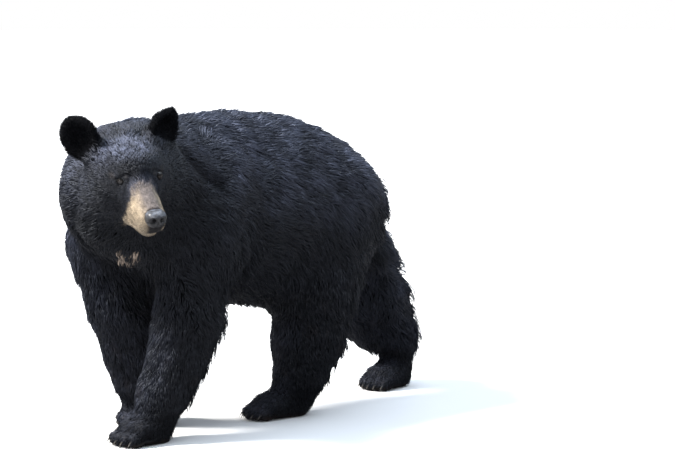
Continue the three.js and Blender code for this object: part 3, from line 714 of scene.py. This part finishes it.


# Black hair, and the painted blue-grey sheen laid over it where it faces the sky and the key lamp.
DARK_HAIR = (0.0050, 0.0055, 0.0076, 1), (0.0113, 0.0120, 0.0156, 1)
PAINTED_SHEEN = (0.044, 0.050, 0.075, 1), (0.120, 0.134, 0.192, 1)
MUZZLE_TAN = (0.51, 0.415, 0.30, 1)
BRIDGE_GREY = (0.160, 0.138, 0.131, 1)
TAN_FLECK = (0.20, 0.14, 0.10, 1)
LIP_DARK = (0.034, 0.031, 0.031, 1)
markings_and_light, inputs, markings_and_light_out = new_group("bear_markings_and_light", Place="Vector", Open="Float", Tone="Float")
place, sheen_given, tone_and_shade = inputs
head_place = place.seen_from(HEAD, HEAD_SIZE)
aside, back, height = head_place.parts()
ragged = place.noise(90.0, 3.0)
coarse = place.noise(24.0, 3.0)
drift = (ragged - 0.5) * 0.03
forward = back * -1.0 + drift
off_middle = abs(aside)

# The tan of the muzzle: its edge over the bridge and cheeks, at the lip, and none of it off the head.
edge_at = (height + 0.030).at_most(0.0) + 0.125 + (height + 0.064).at_most(0.0) * 0.2
edge_at = edge_at - height.ramp(-0.012, 0.010, 0.0, 0.008)
lip_height = height + (0.13 - forward).at_least(0.0) * 0.16
muzzle = (forward - edge_at).ramp(-0.009, 0.009) * (lip_height + drift * 0.3).ramp(-0.0895, -0.0850)
muzzle = muzzle * (forward.ramp(0.24, 0.26, 1.0, 0.0) * off_middle.ramp(0.062, 0.075, 1.0, 0.0))
from_side = off_middle - (0.135 - forward).at_least(0.0) * 0.8
bridge = height.ramp(-0.045, -0.016) * from_side.ramp(0.008, 0.032, 1.0, 0.0)
lip_front = forward.ramp(0.178, 0.186) * (aside * -1.0).at_least(aside * 0.5).ramp(0.0100, 0.0210, 1.0, 0.0)
lip_front = lip_front * height.ramp(-0.045, -0.038, 1.0, 0.0) * height.ramp(-0.0850, -0.0770)
tan = bridge.blend(MUZZLE_TAN, BRIDGE_GREY)
tan = (ragged.ramp(0.50, 0.80) * 0.18).blend(tan, TAN_FLECK)
tan = lip_front.blend(tan, LIP_DARK)
# Painted sheen: the black hair turns blue-grey as far as each place is given sheen, mottled by the noise.
opened = sheen_given * (coarse.ramp(0.3, 0.7) + 0.55)
black_and_sheen = opened.blend(coarse.blend(*DARK_HAIR), coarse.blend(*PAINTED_SHEEN))
coloured = muzzle.blend(black_and_sheen, tan)

# Round marks about the eyes, in the head's axes: place, size, softness of the edge, strength and colour.
# The near-black mark round the eye is the dark rim of the lids with painted shade in the socket, the
# near-black ones over the fold of the brow and in the pit at its inner end are painted shade, the grey one
# beside the bridge is a painted sheen, and the light brown one is brown hair.
BROWS = (
    ((0.043, -0.078, 0.019), 0.010, 0.004, 0.80, (0.0040, 0.0038, 0.0040, 1)),
    ((0.041, -0.086, 0.034), 0.002, 0.003, 0.60, (0.0050, 0.0045, 0.0045, 1)),
    ((0.033, -0.091, 0.038), 0.002, 0.003, 0.70, (0.0050, 0.0045, 0.0045, 1)),
    ((0.026, -0.096, 0.039), 0.004, 0.004, 0.90, (0.0060, 0.0045, 0.0035, 1)),
    ((0.032, -0.095, 0.031), 0.0025, 0.0040, 0.45, (0.110, 0.098, 0.094, 1)),
    ((0.058, -0.075, 0.030), 0.006, 0.007, 0.40, (0.080, 0.064, 0.052, 1)),
)
for side in (1, -1):
    for (out_at, ahead_at, up_at), size, soft_edge, strength, tint in BROWS:
        far = head_place.vector("DISTANCE", (side * out_at, ahead_at, up_at)) + drift * 0.4
        brow = far.ramp(size - soft_edge, size + soft_edge, 1.0, 0.0)
        coloured = (brow * strength).blend(coloured, tint)

# The blaze on the chest: three short streaks that meet low down, each with its ends, its half width, and
# how far out its edge fades.
CHEST_BLAZE = (
    ((0.0403, -0.5602, 0.4997), (0.0116, -0.5217, 0.4741), 0.005, 0.011),
    ((0.0116, -0.5217, 0.4741), (-0.0158, -0.4832, 0.4627), 0.009, 0.016),
    ((0.0679, -0.5281, 0.4957), (0.038, -0.5005, 0.4745), 0.003, 0.008),
)
BLAZE_CREAM = (0.56, 0.44, 0.345, 1)
for start, end, inside, edge in CHEST_BLAZE:
    run = Vector(end) - Vector(start)
    from_start = place.vector("SUBTRACT", start)
    along_run = from_start.vector("DOT_PRODUCT", run / run.length_squared)
    share_along = worked_out(markings_and_light, "ADD", along_run, 0.0, clamp=True)
    foot = add_node(markings_and_light, "ShaderNodeVectorMath", operation="SCALE")
    feed(foot.inputs[0], run)
    feed(foot.inputs["Scale"], share_along)
    off = from_start.vector("DISTANCE", Value(foot.outputs[0]))
    streak = (off + drift * 0.6).ramp(inside, edge, 1.0, 0.0)
    coloured = (streak * 0.92).blend(coloured, BLAZE_CREAM)

# Bare dark brown pads under the feet, and rusty brown hair here and there low on the legs.
PAD_BROWN = (0.030, 0.022, 0.018, 1)
RUSTY_BROWN = (0.028, 0.018, 0.012, 1)
level = place.parts()[2]
coloured = level.ramp(0.004, 0.016, 1.0, 0.0).blend(coloured, PAD_BROWN)
coloured = (coarse.ramp(0.56, 0.70) * level.ramp(0.15, 0.45, 0.35, 0.0)).blend(coloured, RUSTY_BROWN)
shade = add_node(markings_and_light, "ShaderNodeHueSaturation")
feed(shade.inputs["Color"], coloured)
feed(shade.inputs["Value"], tone_and_shade)
feed(markings_and_light_out, Value(shade.outputs[0]))


def own_place(tree):
    return Value(add_node(tree, "ShaderNodeTexCoord").outputs["Object"])


def read(tree, key, kind="Fac"):
    return Value(add_node(tree, "ShaderNodeAttribute", attribute_name=key).outputs[kind])


def use(tree, group, *values):
    """The colour that a group gives for these values."""
    made = add_node(tree, "ShaderNodeGroup", node_tree=group)
    for socket, value in zip(made.inputs, values):
        feed(socket, value)
    return Value(made.outputs[0])


def roughen(shader, relief, strength, height):
    """A bump on a shader, from a value that goes up and down."""
    bump = add_node(relief.tree, "ShaderNodeBump")
    for key, value in (("Strength", strength), ("Distance", height), ("Height", relief)):
        feed(bump.inputs[key], value)
    feed(shader.inputs["Normal"], Value(bump.outputs[0]))


def coat_material(name, rough, gloss):
    """Hair tufts: colour by root place, fine lines, painted shade at the roots and painted sheen at the tips.
    """
    made, tree, shader = new_material(name, rough, gloss)
    along, tuft_tone_and_shade = read(tree, "along"), read(tree, "tone_and_shade")
    strand = add_node(tree, "ShaderNodeCombineXYZ")
    feed(strand.inputs[0], read(tree, "across") * 6.0)
    feed(strand.inputs[1], tuft_tone_and_shade * 40.0 + along)
    lines = add_node(tree, "ShaderNodeTexNoise", noise_dimensions="2D")
    feed(lines.inputs["Vector"], Value(strand.outputs[0]))
    feed(lines.inputs["Scale"], 1.6)
    lines = Value(lines.outputs["Fac"])
    # Painted sheen grows towards the tip, and painted shade darkens each tuft towards its root.
    painted_sheen_along = read(tree, "painted_sheen") * (along * 0.75 + 0.25)
    tone_lines_and_shade = tuft_tone_and_shade * lines.ramp(0.3, 0.7, 0.72, 1.28) * (along * 0.5 + 0.6)
    colour = use(tree, markings_and_light, read(tree, "root_at", "Vector"), painted_sheen_along, tone_lines_and_shade)
    feed(shader.inputs["Base Color"], colour)
    feed(shader.inputs["Specular Tint"], (0.82, 0.88, 1.0, 1))
    roughen(shader, lines, 0.35, 0.001)
    return made


guard_hair = coat_material("guard_hair", 0.55, 0.42)
short_hair = coat_material("short_hair", 0.6, 0.2)
ear_hair = coat_material("ear_hair", 0.7, 0.06)

hide_skin, tree, shader = new_material("hide_skin", 0.7, 0.2)
pores = own_place(tree).noise(420.0, 3.0)
# The hide shares the colours, with a quarter of the painted sheen.
colour = use(tree, markings_and_light, own_place(tree), read(tree, "painted_sheen") * 0.25, pores.ramp(0.3, 0.7, 0.45, 0.95))
feed(shader.inputs["Base Color"], colour)
roughen(shader, pores, 0.5, 0.0012)
hide.data.materials.clear()
hide.data.materials.append(hide_skin)

# ---------- skin, closed and finished ----------
# How much painted blue-grey sheen each place carries, by how far it faces up, how high it stands and how
# far it faces the key lamp. The hide is then thinned out where long hair covers it and kept fine on the
# head and feet.

TOWARD_KEY_LAMP = (-0.43, -0.58, 0.69)
RIGHT_LEGS_SHEEN = (-0.2, -0.9, 0.3)
LEFT_SHEEN = (-0.5, -0.86, 0.1)
on_legs = on_parts("foreleg_left", "foreleg_right", "shoulder_right", "paw_fore_left", "shank_right")
on_right_legs = on_parts("foreleg_right", "shoulder_right", "shank_right", "thigh_right", "paw_fore_right")
on_left_legs = on_parts("foreleg_left", "paw_fore_left")
painted_sheen = slope(facing[:, 2], 0.05, 0.75) ** 1.05
painted_sheen *= 0.40 + 0.72 * slope(surface[:, 2], 0.15, 0.45)
# Painted sheen where the hide faces the key lamp.
faces_key_lamp = slope(facing @ np.array(TOWARD_KEY_LAMP), 0.25, 0.75)
painted_sheen += (0.36 + 0.40 * on_legs + 0.35 * on_left_legs + 0.25 * on_head) * faces_key_lamp
painted_sheen += 0.20 * on_right_legs * (facing @ np.array(RIGHT_LEGS_SHEEN) > -0.6)
painted_sheen += 0.22 * on_parts("torso") * step(surface[:, 1], 0.15, 0.35) * step(facing[:, 2], 0.1, 0.5)
painted_sheen += 0.55 * on_left_legs * step(facing @ np.array(LEFT_SHEEN), 0.2, 0.9)
painted_sheen = np.clip(painted_sheen, 0, 1.2)

# Painted shade: less painted sheen on the crown, on the left of the face, beside the bridge, in the fold
# of the neck and under the throat, and next to none in the cups of the ears. More painted sheen in the
# middle of the brow.
toward_nose = -local[:, 1]
beside_bridge = between(toward_nose, 0.075, 0.09, 0.13, 0.14) * step(np.abs(local[:, 0]), 0.014, 0.024)
brow_centre = bell(local[:, 0], -0.008, 0.036) * bell(toward_nose, 0.062, 0.040)
brow_centre *= on_head * (local[:, 2] > 0.02)
painted_sheen *= 1 - 0.66 * on_head * step(local[:, 2], 0.055, 0.09) * step(-toward_nose, -0.05, 0.0)
painted_sheen *= 1 - 0.6 * on_head * step(local[:, 0], 0.02, 0.07)
painted_sheen *= 1 - 0.4 * on_head * beside_bridge
painted_sheen *= 1 - 0.8 * fold_at
painted_sheen *= 1 - 0.7 * step(-local[:, 2], 0.085, 0.125) * step(toward_nose, -0.06, 0.0)
painted_sheen = np.clip(painted_sheen * (1 + 0.9 * brow_centre), 0, 1.6)
painted_sheen = spread(painted_sheen.reshape(-1, 1), 0.5, 10)[:, 0]
for name in EARS:
    ear = in_ear(name, surface)
    off_axis = np.hypot(ear[:, 0] / 0.060, ear[:, 1] / 0.045)
    painted_sheen *= 1 - 0.96 * (1 - step(off_axis, 0.8, 1.2)) * step(ear[:, 2], -0.045, -0.015)
attribute = hide.data.attributes.new("painted_sheen", "FLOAT", "POINT")
attribute.data.foreach_set("value", painted_sheen.astype(np.float32))
thinned = hide.vertex_groups.new(name="thinned")
kept_fine = on_parts("head", "muzzle", "jaw", "ear_left", "ear_right", *PAWS)
thinned.add(np.nonzero(~kept_fine)[0].tolist(), 1.0, "REPLACE")
only(hide)
worked(hide, "DECIMATE", ratio=0.46, vertex_group="thinned")
hide.vertex_groups.clear()
hide.data.shade_smooth()
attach(hide, "root")
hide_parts(*part_names)

# ---------- coat ----------
# Some two hundred thousand tufts of hair, each a thin closed blade that rises from the skin, bends over and
# lies along the body with its neighbours' tips drawn together into small locks.

THIN = 1.0
# Painted shade: tufts under the throat and on the left of the head and neck, away from the key lamp, are
# darkened, but not about the chest blaze.
throat = step(-local[:, 2], 0.075, 0.125) * step(toward_nose, -0.08, -0.01)
left_side = step(local[:, 0], 0.05, 0.09)
painted_shade = np.maximum(throat, 0.7 * left_side) * on_parts("head", "neck")
painted_shade = spread(painted_shade.reshape(-1, 1), 0.5, 20)[:, 0]
for start, end, _, _ in CHEST_BLAZE:
    middle = (np.array(start) + np.array(end)) / 2
    painted_shade *= step(np.linalg.norm(surface - middle, axis=1), 0.030, 0.060)

# An unwrap of a thinned copy of the hide, in which each tuft finds its place.
unwrap_mesh = bpy.data.meshes.new("unwrap")
unwrap_mesh.from_pydata(skin_points.tolist(), [], triangles.tolist())
unwrap = add_object("unwrap", unwrap_mesh)
only(unwrap)
worked(unwrap, "DECIMATE", ratio=0.04)
on_all_faces(bpy.ops.uv.smart_project, angle_limit=math.radians(66), island_margin=0.004)
unwrap.data.calc_loop_triangles()
chart_points = array_of(unwrap.data.vertices, "co", 3)
chart_faces = array_of(unwrap.data.loop_triangles, "vertices", 3, np.int32)
chart_loops = array_of(unwrap.data.loop_triangles, "loops", 3, np.int32)
chart_uv = array_of(unwrap.data.uv_layers.active.data, "uv", 2)
chart_tree = BVHTree.FromPolygons(chart_points.tolist(), chart_faces.tolist())
bpy.data.objects.remove(unwrap)


def chart_places(points):
    """Where points lie on the unwrapped hide."""
    places = np.zeros((len(points), 2))
    for i, p in enumerate(points):
        spot_at, _, face, _ = chart_tree.find_nearest(Vector(p))
        a, b, c = chart_points[chart_faces[face]]
        u, v, w = b - a, c - a, np.array(spot_at) - a
        uu, u_v, vv, wu, wv = u @ u, u @ v, v @ v, w @ u, w @ v
        whole = uu * vv - u_v * u_v or 1e-12
        s = (vv * wu - u_v * wv) / whole
        t = (uu * wv - u_v * wu) / whole
        ua, ub, uc = chart_uv[chart_loops[face]]
        places[i] = ua + s * (ub - ua) + t * (uc - ua)
    return places


corner = skin_points[triangles]
area = 0.5 * np.linalg.norm(np.cross(corner[:, 1] - corner[:, 0], corner[:, 2] - corner[:, 0]), axis=1)


def roots_on(names, more, where):
    """Random root places on some parts of the hide: triangle and corner weights, dense as the coat is."""
    which = np.nonzero(on_parts(*names)[triangles[:, 0]])[0]
    crowd = coat[:, 3] * (1 - bare) * where
    crowd = np.cumsum(area[which] * crowd[triangles[which]].mean(1) * 1e4 * more * THIN)
    count = int(crowd[-1])
    picks = which[np.searchsorted(crowd, (np.arange(count) + rng.random(count)) * crowd[-1] / count)]
    a, b = rng.random(count), rng.random(count)
    turn = a + b > 1
    a[turn], b[turn] = 1 - a[turn], 1 - b[turn]
    return picks, np.stack([1 - a - b, a, b], 1)


def on_skin(points):
    """The nearest places on the hide, and the way it faces there."""
    hits = [skin_tree.find_nearest(Vector(p))[:2] for p in points]
    return np.array([hit[0] for hit in hits]), np.array([hit[1] for hit in hits])


# The blade of a tuft with one, two or three rings below its tip: how far along it each ring and the tip lie,
# how high they stand, and how wide the rings are.
BLADE = {
    1: ((0.0, 1.0), (0.0, 1.0), (1.0,)),
    2: ((0.0, 0.5, 1.0), (0.0, 0.72, 1.0), (0.8, 1.0)),
    3: ((0.0, 0.36, 0.7, 1.0), (0.0, 0.6, 0.92, 1.0), (0.8, 1.0, 0.6)),
}
CHART_PATCH = 0.003


def tufts(name, names, rings=2, pull=0.45, clump=9, hug=True, rise=(0.72, 1.16), stray=0.16, more=1.0,
          vary=0.38, where=1.0, longer=1.0, higher=1.0, droop=0.0, aim=None, shaded=1.0, hair=guard_hair):
    """One piece of the coat over some parts of the hide. The tufts hug the skin or stand free over it, rise
    by a share of the coat's depth, stray from its lie, are pulled into clumps, and may droop or aim at
    a point."""
    picks, share = roots_on(names, more, where)
    tri = triangles[picks]

    def at_root(values):
        return (values[tri] * share[:, :, None]).sum(1)

    root = at_root(skin_points)
    up = unit(at_root(facing))
    way = at_root(lie)
    way[:, 2] -= droop
    deep, long, wide, _ = at_root(coat).T * 0.001
    deep = deep * at_root(uneven.reshape(-1, 1))[:, 0]
    painted_sheen_at_root = at_root(painted_sheen.reshape(-1, 1))[:, 0]
    count = len(root)
    way = flat_on(unit(way + stray * rng.standard_normal((count, 3))), up)
    long = longer * long * rng.uniform(0.7, 1.25, count)
    high = higher * deep * rng.uniform(*rise, count)
    wide = wide * rng.uniform(0.75, 1.25, count)
    locks = max(1, count // clump)
    centres = rng.choice(count, locks, replace=False)
    near = KDTree(locks)
    for i, c in enumerate(centres):
        near.insert(Vector(root[c]), i)
    near.balance()
    lock = np.array([near.find(Vector(p))[1] for p in root])
    mine = centres[lock]
    high *= rng.uniform(0.86, 1.06, locks)[lock]
    shade_of = rng.uniform(1 - vary, 1 + vary, locks)[lock] * rng.uniform(0.75, 1.25, count) * shaded
    # Tufts in the painted shade are darkened.
    shade_of *= 1 - 0.65 * at_root(painted_shade.reshape(-1, 1))[:, 0]
    steps, lifts, widths = BLADE[rings]
    spine = [root - up * 0.0012]
    tangle = rng.standard_normal((count, 3))
    if aim is not None:
        way = unit(unit(np.array(aim) - root) + way + 0.25 * tangle)
    for part_way, lift in zip(steps[1:], lifts[1:]):
        base, over = root + way * (long * part_way)[:, None], up
        if hug and aim is None:
            base, over = on_skin(base)
            over = unit(over + up)
        spine.append(base + over * (high * lift)[:, None])
    if pull:
        tug = pull * rng.uniform(0.4, 1.4, count)[:, None]
        spine[-1] = spine[-1] + (spine[-1][mine] - spine[-1]) * tug
        if rings == 3:
            spine[-2] = spine[-2] + (spine[-2][mine] - spine[-2]) * tug * 0.5
    roll = rng.uniform(-0.7, 0.7, count)[:, None]
    per = rings * 3 + 1
    verts = np.zeros((count, per, 3))
    along = np.zeros((count, per))
    across = np.zeros((count, per))
    for k in range(rings):
        onward = unit(spine[k + 1] - spine[max(k - 1, 0)])
        side = unit(np.cross(onward, up))
        top = np.cross(side, onward)
        turned = side * np.cos(roll) + top * np.sin(roll)
        raised = top * np.cos(roll) - side * np.sin(roll)
        half = (wide * widths[k] * 0.5)[:, None]
        verts[:, k * 3] = spine[k] - turned * half
        verts[:, k * 3 + 1] = spine[k] + turned * half
        verts[:, k * 3 + 2] = spine[k] + raised * half * 0.8
        along[:, k * 3:k * 3 + 3] = steps[k]
        across[:, k * 3:k * 3 + 3] = (0, 1, 0.5)
    verts[:, -1] = spine[-1]
    verts[:, :, 2] = np.maximum(verts[:, :, 2], 0.0006)
    along[:, -1], across[:, -1] = 1, 0.5
    faces = [(0, 1, 2)]
    for k in range(rings - 1):
        for a, b in ((0, 2), (2, 1), (1, 0)):
            faces += [(k * 3 + a, k * 3 + b, k * 3 + b + 3), (k * 3 + a, k * 3 + b + 3, k * 3 + a + 3)]
    last = (rings - 1) * 3
    faces += [(last, last + 2, last + 3), (last + 2, last + 1, last + 3), (last + 1, last, last + 3)]
    index = (np.array(faces)[None] + (np.arange(count) * per)[:, None, None]).reshape(-1, 3)
    mesh = bpy.data.meshes.new(name)
    mesh.vertices.add(count * per)
    mesh.vertices.foreach_set("co", verts.astype(np.float32).ravel())
    mesh.loops.add(index.size)
    mesh.loops.foreach_set("vertex_index", index.astype(np.int32).ravel())
    mesh.polygons.add(len(index))
    mesh.polygons.foreach_set("loop_start", np.arange(0, index.size, 3, dtype=np.int32))
    mesh.polygons.foreach_set("loop_total", np.full(len(index), 3, np.int32))
    mesh.polygons.foreach_set("use_smooth", np.ones(len(index), bool))
    mesh.update(calc_edges=True)

    def write(key, kind, values, field="value"):
        mesh.attributes.new(key, kind, "POINT").data.foreach_set(field, values.astype(np.float32).ravel())

    write("root_at", "FLOAT_VECTOR", np.repeat(root[:, None], per, 1), "vector")
    # The painted sheen, and the tone with its painted shade, go on each tuft.
    write("painted_sheen", "FLOAT", np.repeat(painted_sheen_at_root[:, None], per, 1))
    write("tone_and_shade", "FLOAT", np.repeat(shade_of[:, None], per, 1))
    write("along", "FLOAT", along)
    write("across", "FLOAT", across)
    charts = mesh.uv_layers.new(name="OFBake")
    uv = chart_places(root)[:, None] + CHART_PATCH * np.stack([across - 0.5, along - 0.5], 2)
    uv = np.clip(uv, 0.0005, 0.9995).reshape(-1, 2)
    charts.data.foreach_set("uv", uv[index.ravel()].astype(np.float32).ravel())
    mesh.materials.append(hair)
    made = add_object(name, mesh)
    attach(made, "root")


left = surface[:, 0] > -0.067
on_back = facing[:, 2] > 0.6
tufts("coat_flank_left", ["torso"], where=left & ~on_back)
tufts("coat_flank_right", ["torso"], more=0.84, where=~left & ~on_back)
tufts("coat_back", ["torso"], where=on_back)
tufts("coat_neck", ["neck"])
tufts("coat_shoulders", ["shoulder_left", "shoulder_right"])
tufts("coat_thighs", ["thigh_left", "thigh_right", "tail"])
tufts("coat_forelegs", ["foreleg_left", "foreleg_right"], stray=0.10, longer=1.2, rise=(0.65, 1.05))
tufts("coat_shanks", ["shank_left", "shank_right"])
tufts("coat_paws", PAWS, rings=1, higher=1.3, longer=1.15)
tufts("coat_head", ["head"], more=0.9, pull=0.5, clump=6, rise=(0.5, 1.15), stray=0.26, vary=0.6)
tufts("coat_ears", ["ear_left", "ear_right"], rings=1, higher=1.9, stray=0.35, hug=False, pull=0.0,
      shaded=0.4, hair=ear_hair)
tufts("coat_muzzle", ["muzzle", "jaw"], rings=1, pull=0.0, longer=1.15, hair=short_hair)

# Longer hair hangs along the belly, behind the legs, from the tail and under the cheeks.
behind = slope(facing[:, 1], 0.25, 0.4)
under = slope(-facing[:, 2], 0.15, 0.4) * (surface[:, 2] > 0.2)
legs = [n for n in part_names if n.startswith(("foreleg", "shank", "thigh", "shoulder"))]
breech = step(-forward_side, 0.1, 0.6) * between(level_at, 0.36, 0.39, 0.46, 0.50) * (surface[:, 1] > 0.36)
under_cheek = ruff * (np.abs(ahead - 0.005) < 0.055)
ear = in_ear("ear_left", surface)
beside_ear = (np.abs(ear[:, 0] + 0.0655) < 0.0295) & (np.abs(ear[:, 1] - 0.010) < 0.014)
ear_tip = ear_stand["ear_left"] @ Vector((-0.004, 0, 0.046))
tufts("fringe_belly", ["torso"], rings=3, where=under, more=0.42, higher=1.25, longer=1.05, droop=0.5,
      pull=0.6)
tufts("fringe_legs", legs, rings=3, where=behind, more=0.30, higher=1.75, longer=1.5, droop=0.3, pull=0.6)
tufts("fringe_rump", ["torso"], rings=3, where=behind * (level_at < 0.72), more=0.40, longer=1.15, pull=0.7)
tufts("fringe_breech", ["thigh_right", "torso"], rings=3, where=breech, more=0.9, higher=2.1, longer=1.6,
      stray=0.3, pull=0.7)
tufts("fringe_tail", ["tail"], rings=3, more=1.3, higher=2.6, longer=1.6, stray=0.3, pull=0.7)
tufts("fringe_ruff", ["head", "neck"], rings=3, where=under_cheek, more=0.12, higher=1.3, longer=1.2,
      pull=0.6)
tufts("fringe_ear", ["head"], rings=3, where=beside_ear, more=0.6, longer=1.3, rise=(0.2, 0.7), pull=0.1,
      shaded=0.6, aim=ear_tip)

# ---------- eyes ----------
# Small round brown eyes, wet and dark-rimmed, each a ball with a raised cornea in a slit of black lids that
# are thickest at their edge and sink into the hide.

BROWN_IRIS = (0.007, 0.0035, 0.0016, 1), (0.024, 0.013, 0.007, 1)
EYE_RIM = (0.006, 0.005, 0.005, 1)
PUPIL = (0.002, 0.002, 0.002, 1)
iris_colours, (eye_place,), iris_out = new_group("bear_iris", Place="Vector")
across_eye, up_eye, _ = eye_place.parts()
from_axis = worked_out(iris_colours, "SQRT", across_eye * across_eye + up_eye * up_eye)
ring = eye_place.noise(900.0).blend(*BROWN_IRIS)
ring = from_axis.ramp(0.0056, 0.0070).blend(ring, EYE_RIM)
feed(iris_out, from_axis.ramp(0.0022, 0.0029, 1.0, 0.0).blend(ring, PUPIL))

lid_skin, tree, shader = new_material("lid_skin", 0.58, 0.15)
wrinkle = own_place(tree).noise(900.0, 3.0)
feed(shader.inputs["Base Color"], wrinkle.blend((0.0035, 0.003, 0.003, 1), (0.016, 0.013, 0.012, 1)))
roughen(shader, wrinkle, 0.5, 0.0006)

EYE_RADIUS = 0.0119
WETNESS = {"eye_left": 0.2, "eye_right": 1.0}
HOW_OPEN = {"eye_left": 0.55, "eye_right": 1.0}
# Rings of a lid from its edge outwards: how far out of the opening, and how far from the middle of the ball.
LID_RINGS = ((0.0, 0.01215), (0.0003, 0.01275), (0.0009, 0.01305), (0.0018, 0.01300), (0.0028, 0.01260),
             (0.0039, 0.01190), (0.0050, 0.01090))
AROUND = 48
SQUARENESS = 1.7


def lid_point(turn, out_of_opening, size, open_share):
    """A point of the lids: the opening is a blunt almond, longer to the outer side and fuller below."""
    c, d = math.cos(turn), math.sin(turn)
    long_half = 0.0082 if c < 0 else 0.0076
    high_half = (0.0040 if d > 0 else 0.0044) * open_share
    opened = (abs(c / long_half) ** SQUARENESS + abs(d / high_half) ** SQUARENESS) ** (-1 / SQUARENESS)
    far = opened + out_of_opening
    return Vector((far * c, far * d + 0.0004, math.sqrt(max(size ** 2 - far ** 2, 1e-8))))


for name, (centre, inner, over, out) in eye_axes.items():
    stand = Matrix.Translation(centre) @ Matrix((inner, over, out)).transposed().to_4x4()
    bpy.ops.object.select_all(action="DESELECT")
    bpy.ops.mesh.primitive_uv_sphere_add(segments=48, ring_count=32, radius=EYE_RADIUS)
    ball = bpy.context.object
    ball.name = "ball_of_" + name
    for vert in ball.data.vertices:
        forward = vert.co.normalized().z
        vert.co *= 1 + 0.075 * max(0.0, (forward - 0.80) / 0.20) ** 0.8
    ball.data.transform(stand)
    ball.data.shade_smooth()
    wet, tree, shader = new_material("wet_" + name, 0.28, 0.3)
    feed(shader.inputs["Base Color"], use(tree, iris_colours, own_place(tree).seen_from(stand)))
    shader.inputs["Coat Weight"].default_value = WETNESS[name]
    shader.inputs["Coat Roughness"].default_value = 0.04
    ball.data.materials.append(wet)
    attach(ball, "root")
    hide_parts(name)

    points, faces = [], []
    for out_of_opening, size in LID_RINGS:
        for i in range(AROUND):
            points.append(stand @ lid_point(2 * math.pi * i / AROUND, out_of_opening, size, HOW_OPEN[name]))
    for start in range(0, (len(LID_RINGS) - 1) * AROUND, AROUND):
        for i in range(AROUND):
            a, b = start + i, start + (i + 1) % AROUND
            faces.append((a, a + AROUND, b + AROUND, b))
    lid_mesh = bpy.data.meshes.new("lids_of_" + name)
    lid_mesh.from_pydata(points, [], faces)
    lids = add_object("lids_of_" + name, lid_mesh)
    only(lids)
    on_all_faces(bpy.ops.mesh.normals_make_consistent, inside=False)
    worked(lids, "SOLIDIFY", thickness=0.0009, offset=-1.0)
    lids.data.shade_smooth()
    lids.data.materials.append(lid_skin)
    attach(lids, "root")

# ---------- nose ----------
# A broad leathery pad over the end of the muzzle, split by a groove below, with a comma-shaped nostril on
# each side. It is a rounded box pushed in at the nostrils, dark below, with a painted dull blue-grey sheen
# where it faces up.

PAD_HALF = (0.0245, 0.0200, 0.0202)
PAD_AT = (0.001, -0.1968, -0.0335)
PAD_SQUARENESS = 0.76
bpy.ops.object.select_all(action="DESELECT")
bpy.ops.mesh.primitive_uv_sphere_add(segments=96, ring_count=64, radius=1.0)
nose = bpy.context.object
nose.name = "nose_pad"
form = array_of(nose.data.vertices, "co", 3)
form = np.stack([form[:, 0], -form[:, 2], form[:, 1]], 1)
form = np.sign(form) * np.abs(form) ** PAD_SQUARENESS * np.array(PAD_HALF)
ahead_of = -form[:, 1] / PAD_HALF[1]
form[:, 0] *= 1 - 0.14 * step(-form[:, 2], 0.0, 0.017)
form[:, 1] += 0.0030 * step(-form[:, 2], -0.004, 0.016)
across, _, up = form.T
push = np.zeros(len(form))
for side in (1, -1):
    nostril = bell(across, side * 0.0112, 0.0053) * bell(up, 0.0018, 0.0050)
    slit = bell(across, side * 0.0188, 0.0052) * bell(up, -0.0022, 0.0018)
    rim = bell(np.hypot(across - side * 0.0118, up - 0.0020), 0.0082, 0.0022)
    push += (0.0012 * rim - 0.0130 * nostril - 0.0055 * slit) * step(ahead_of, 0.15, 0.5)
push -= 0.0022 * bell(across, 0, 0.0013) * step(-up, -0.002, 0.003) * step(ahead_of, 0.3, 0.6)
form = form + unit(form) * push[:, None]
form = (form + np.array(PAD_AT)) @ HEAD_TURN.T + np.array(HEAD.to_translation())
nose.data.vertices.foreach_set("co", form.ravel())
on_all_faces(bpy.ops.mesh.normals_make_consistent, inside=False)
nose.data.shade_smooth()

PAD_DARK = (0.010, 0.0095, 0.0095, 1)
PAD_SHEEN = (0.130, 0.145, 0.180, 1)
PAD_BLOTCH = (0.022, 0.022, 0.026, 1)
PAD_SEAM = (0.006, 0.006, 0.007, 1)
nose_hide, tree, shader = new_material("nose_hide", 0.36)
pebbles = add_node(tree, "ShaderNodeTexVoronoi", feature="DISTANCE_TO_EDGE")
feed(pebbles.inputs["Vector"], own_place(tree))
feed(pebbles.inputs["Scale"], 620.0)
pebble = Value(pebbles.outputs["Distance"]).ramp(0.0, 0.16)
blotch = own_place(tree).noise(140.0, 3.0)
up_pad = own_place(tree).seen_from(HEAD, HEAD_SIZE).parts()[2]
# Painted sheen: the pad turns blue-grey towards its top.
pad_colour_and_sheen = (up_pad + blotch * 0.006).ramp(-0.0235, -0.0165).blend(PAD_DARK, PAD_SHEEN)
pad_colour_and_sheen = blotch.ramp(0.35, 0.7).blend(pad_colour_and_sheen, PAD_BLOTCH)
feed(shader.inputs["Base Color"], ((1.0 - pebble) * 0.6).blend(pad_colour_and_sheen, PAD_SEAM))
roughen(shader, pebble, 0.6, 0.0005)
shader.inputs["Coat Weight"].default_value = 0.25
shader.inputs["Coat Roughness"].default_value = 0.2
nose.data.materials.append(nose_hide)
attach(nose, "root")
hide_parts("nose")

# ---------- claws ----------
# Five hooked claws of horn on each foot, dark at the root and pale and worn at the tip.

claw_horn, tree, shader = new_material("claw_horn", 0.4)
worn = own_place(tree).noise(500.0, 3.0) * 0.006
down = (own_place(tree).parts()[2] + worn).ramp(0.008, 0.022, 1.0, 0.0)
feed(shader.inputs["Base Color"], down.blend((0.012, 0.011, 0.011, 1), (0.22, 0.20, 0.18, 1)))
for name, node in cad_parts.items():
    if name.startswith("claw"):
        node.data.materials.clear()
        node.data.materials.append(claw_horn)
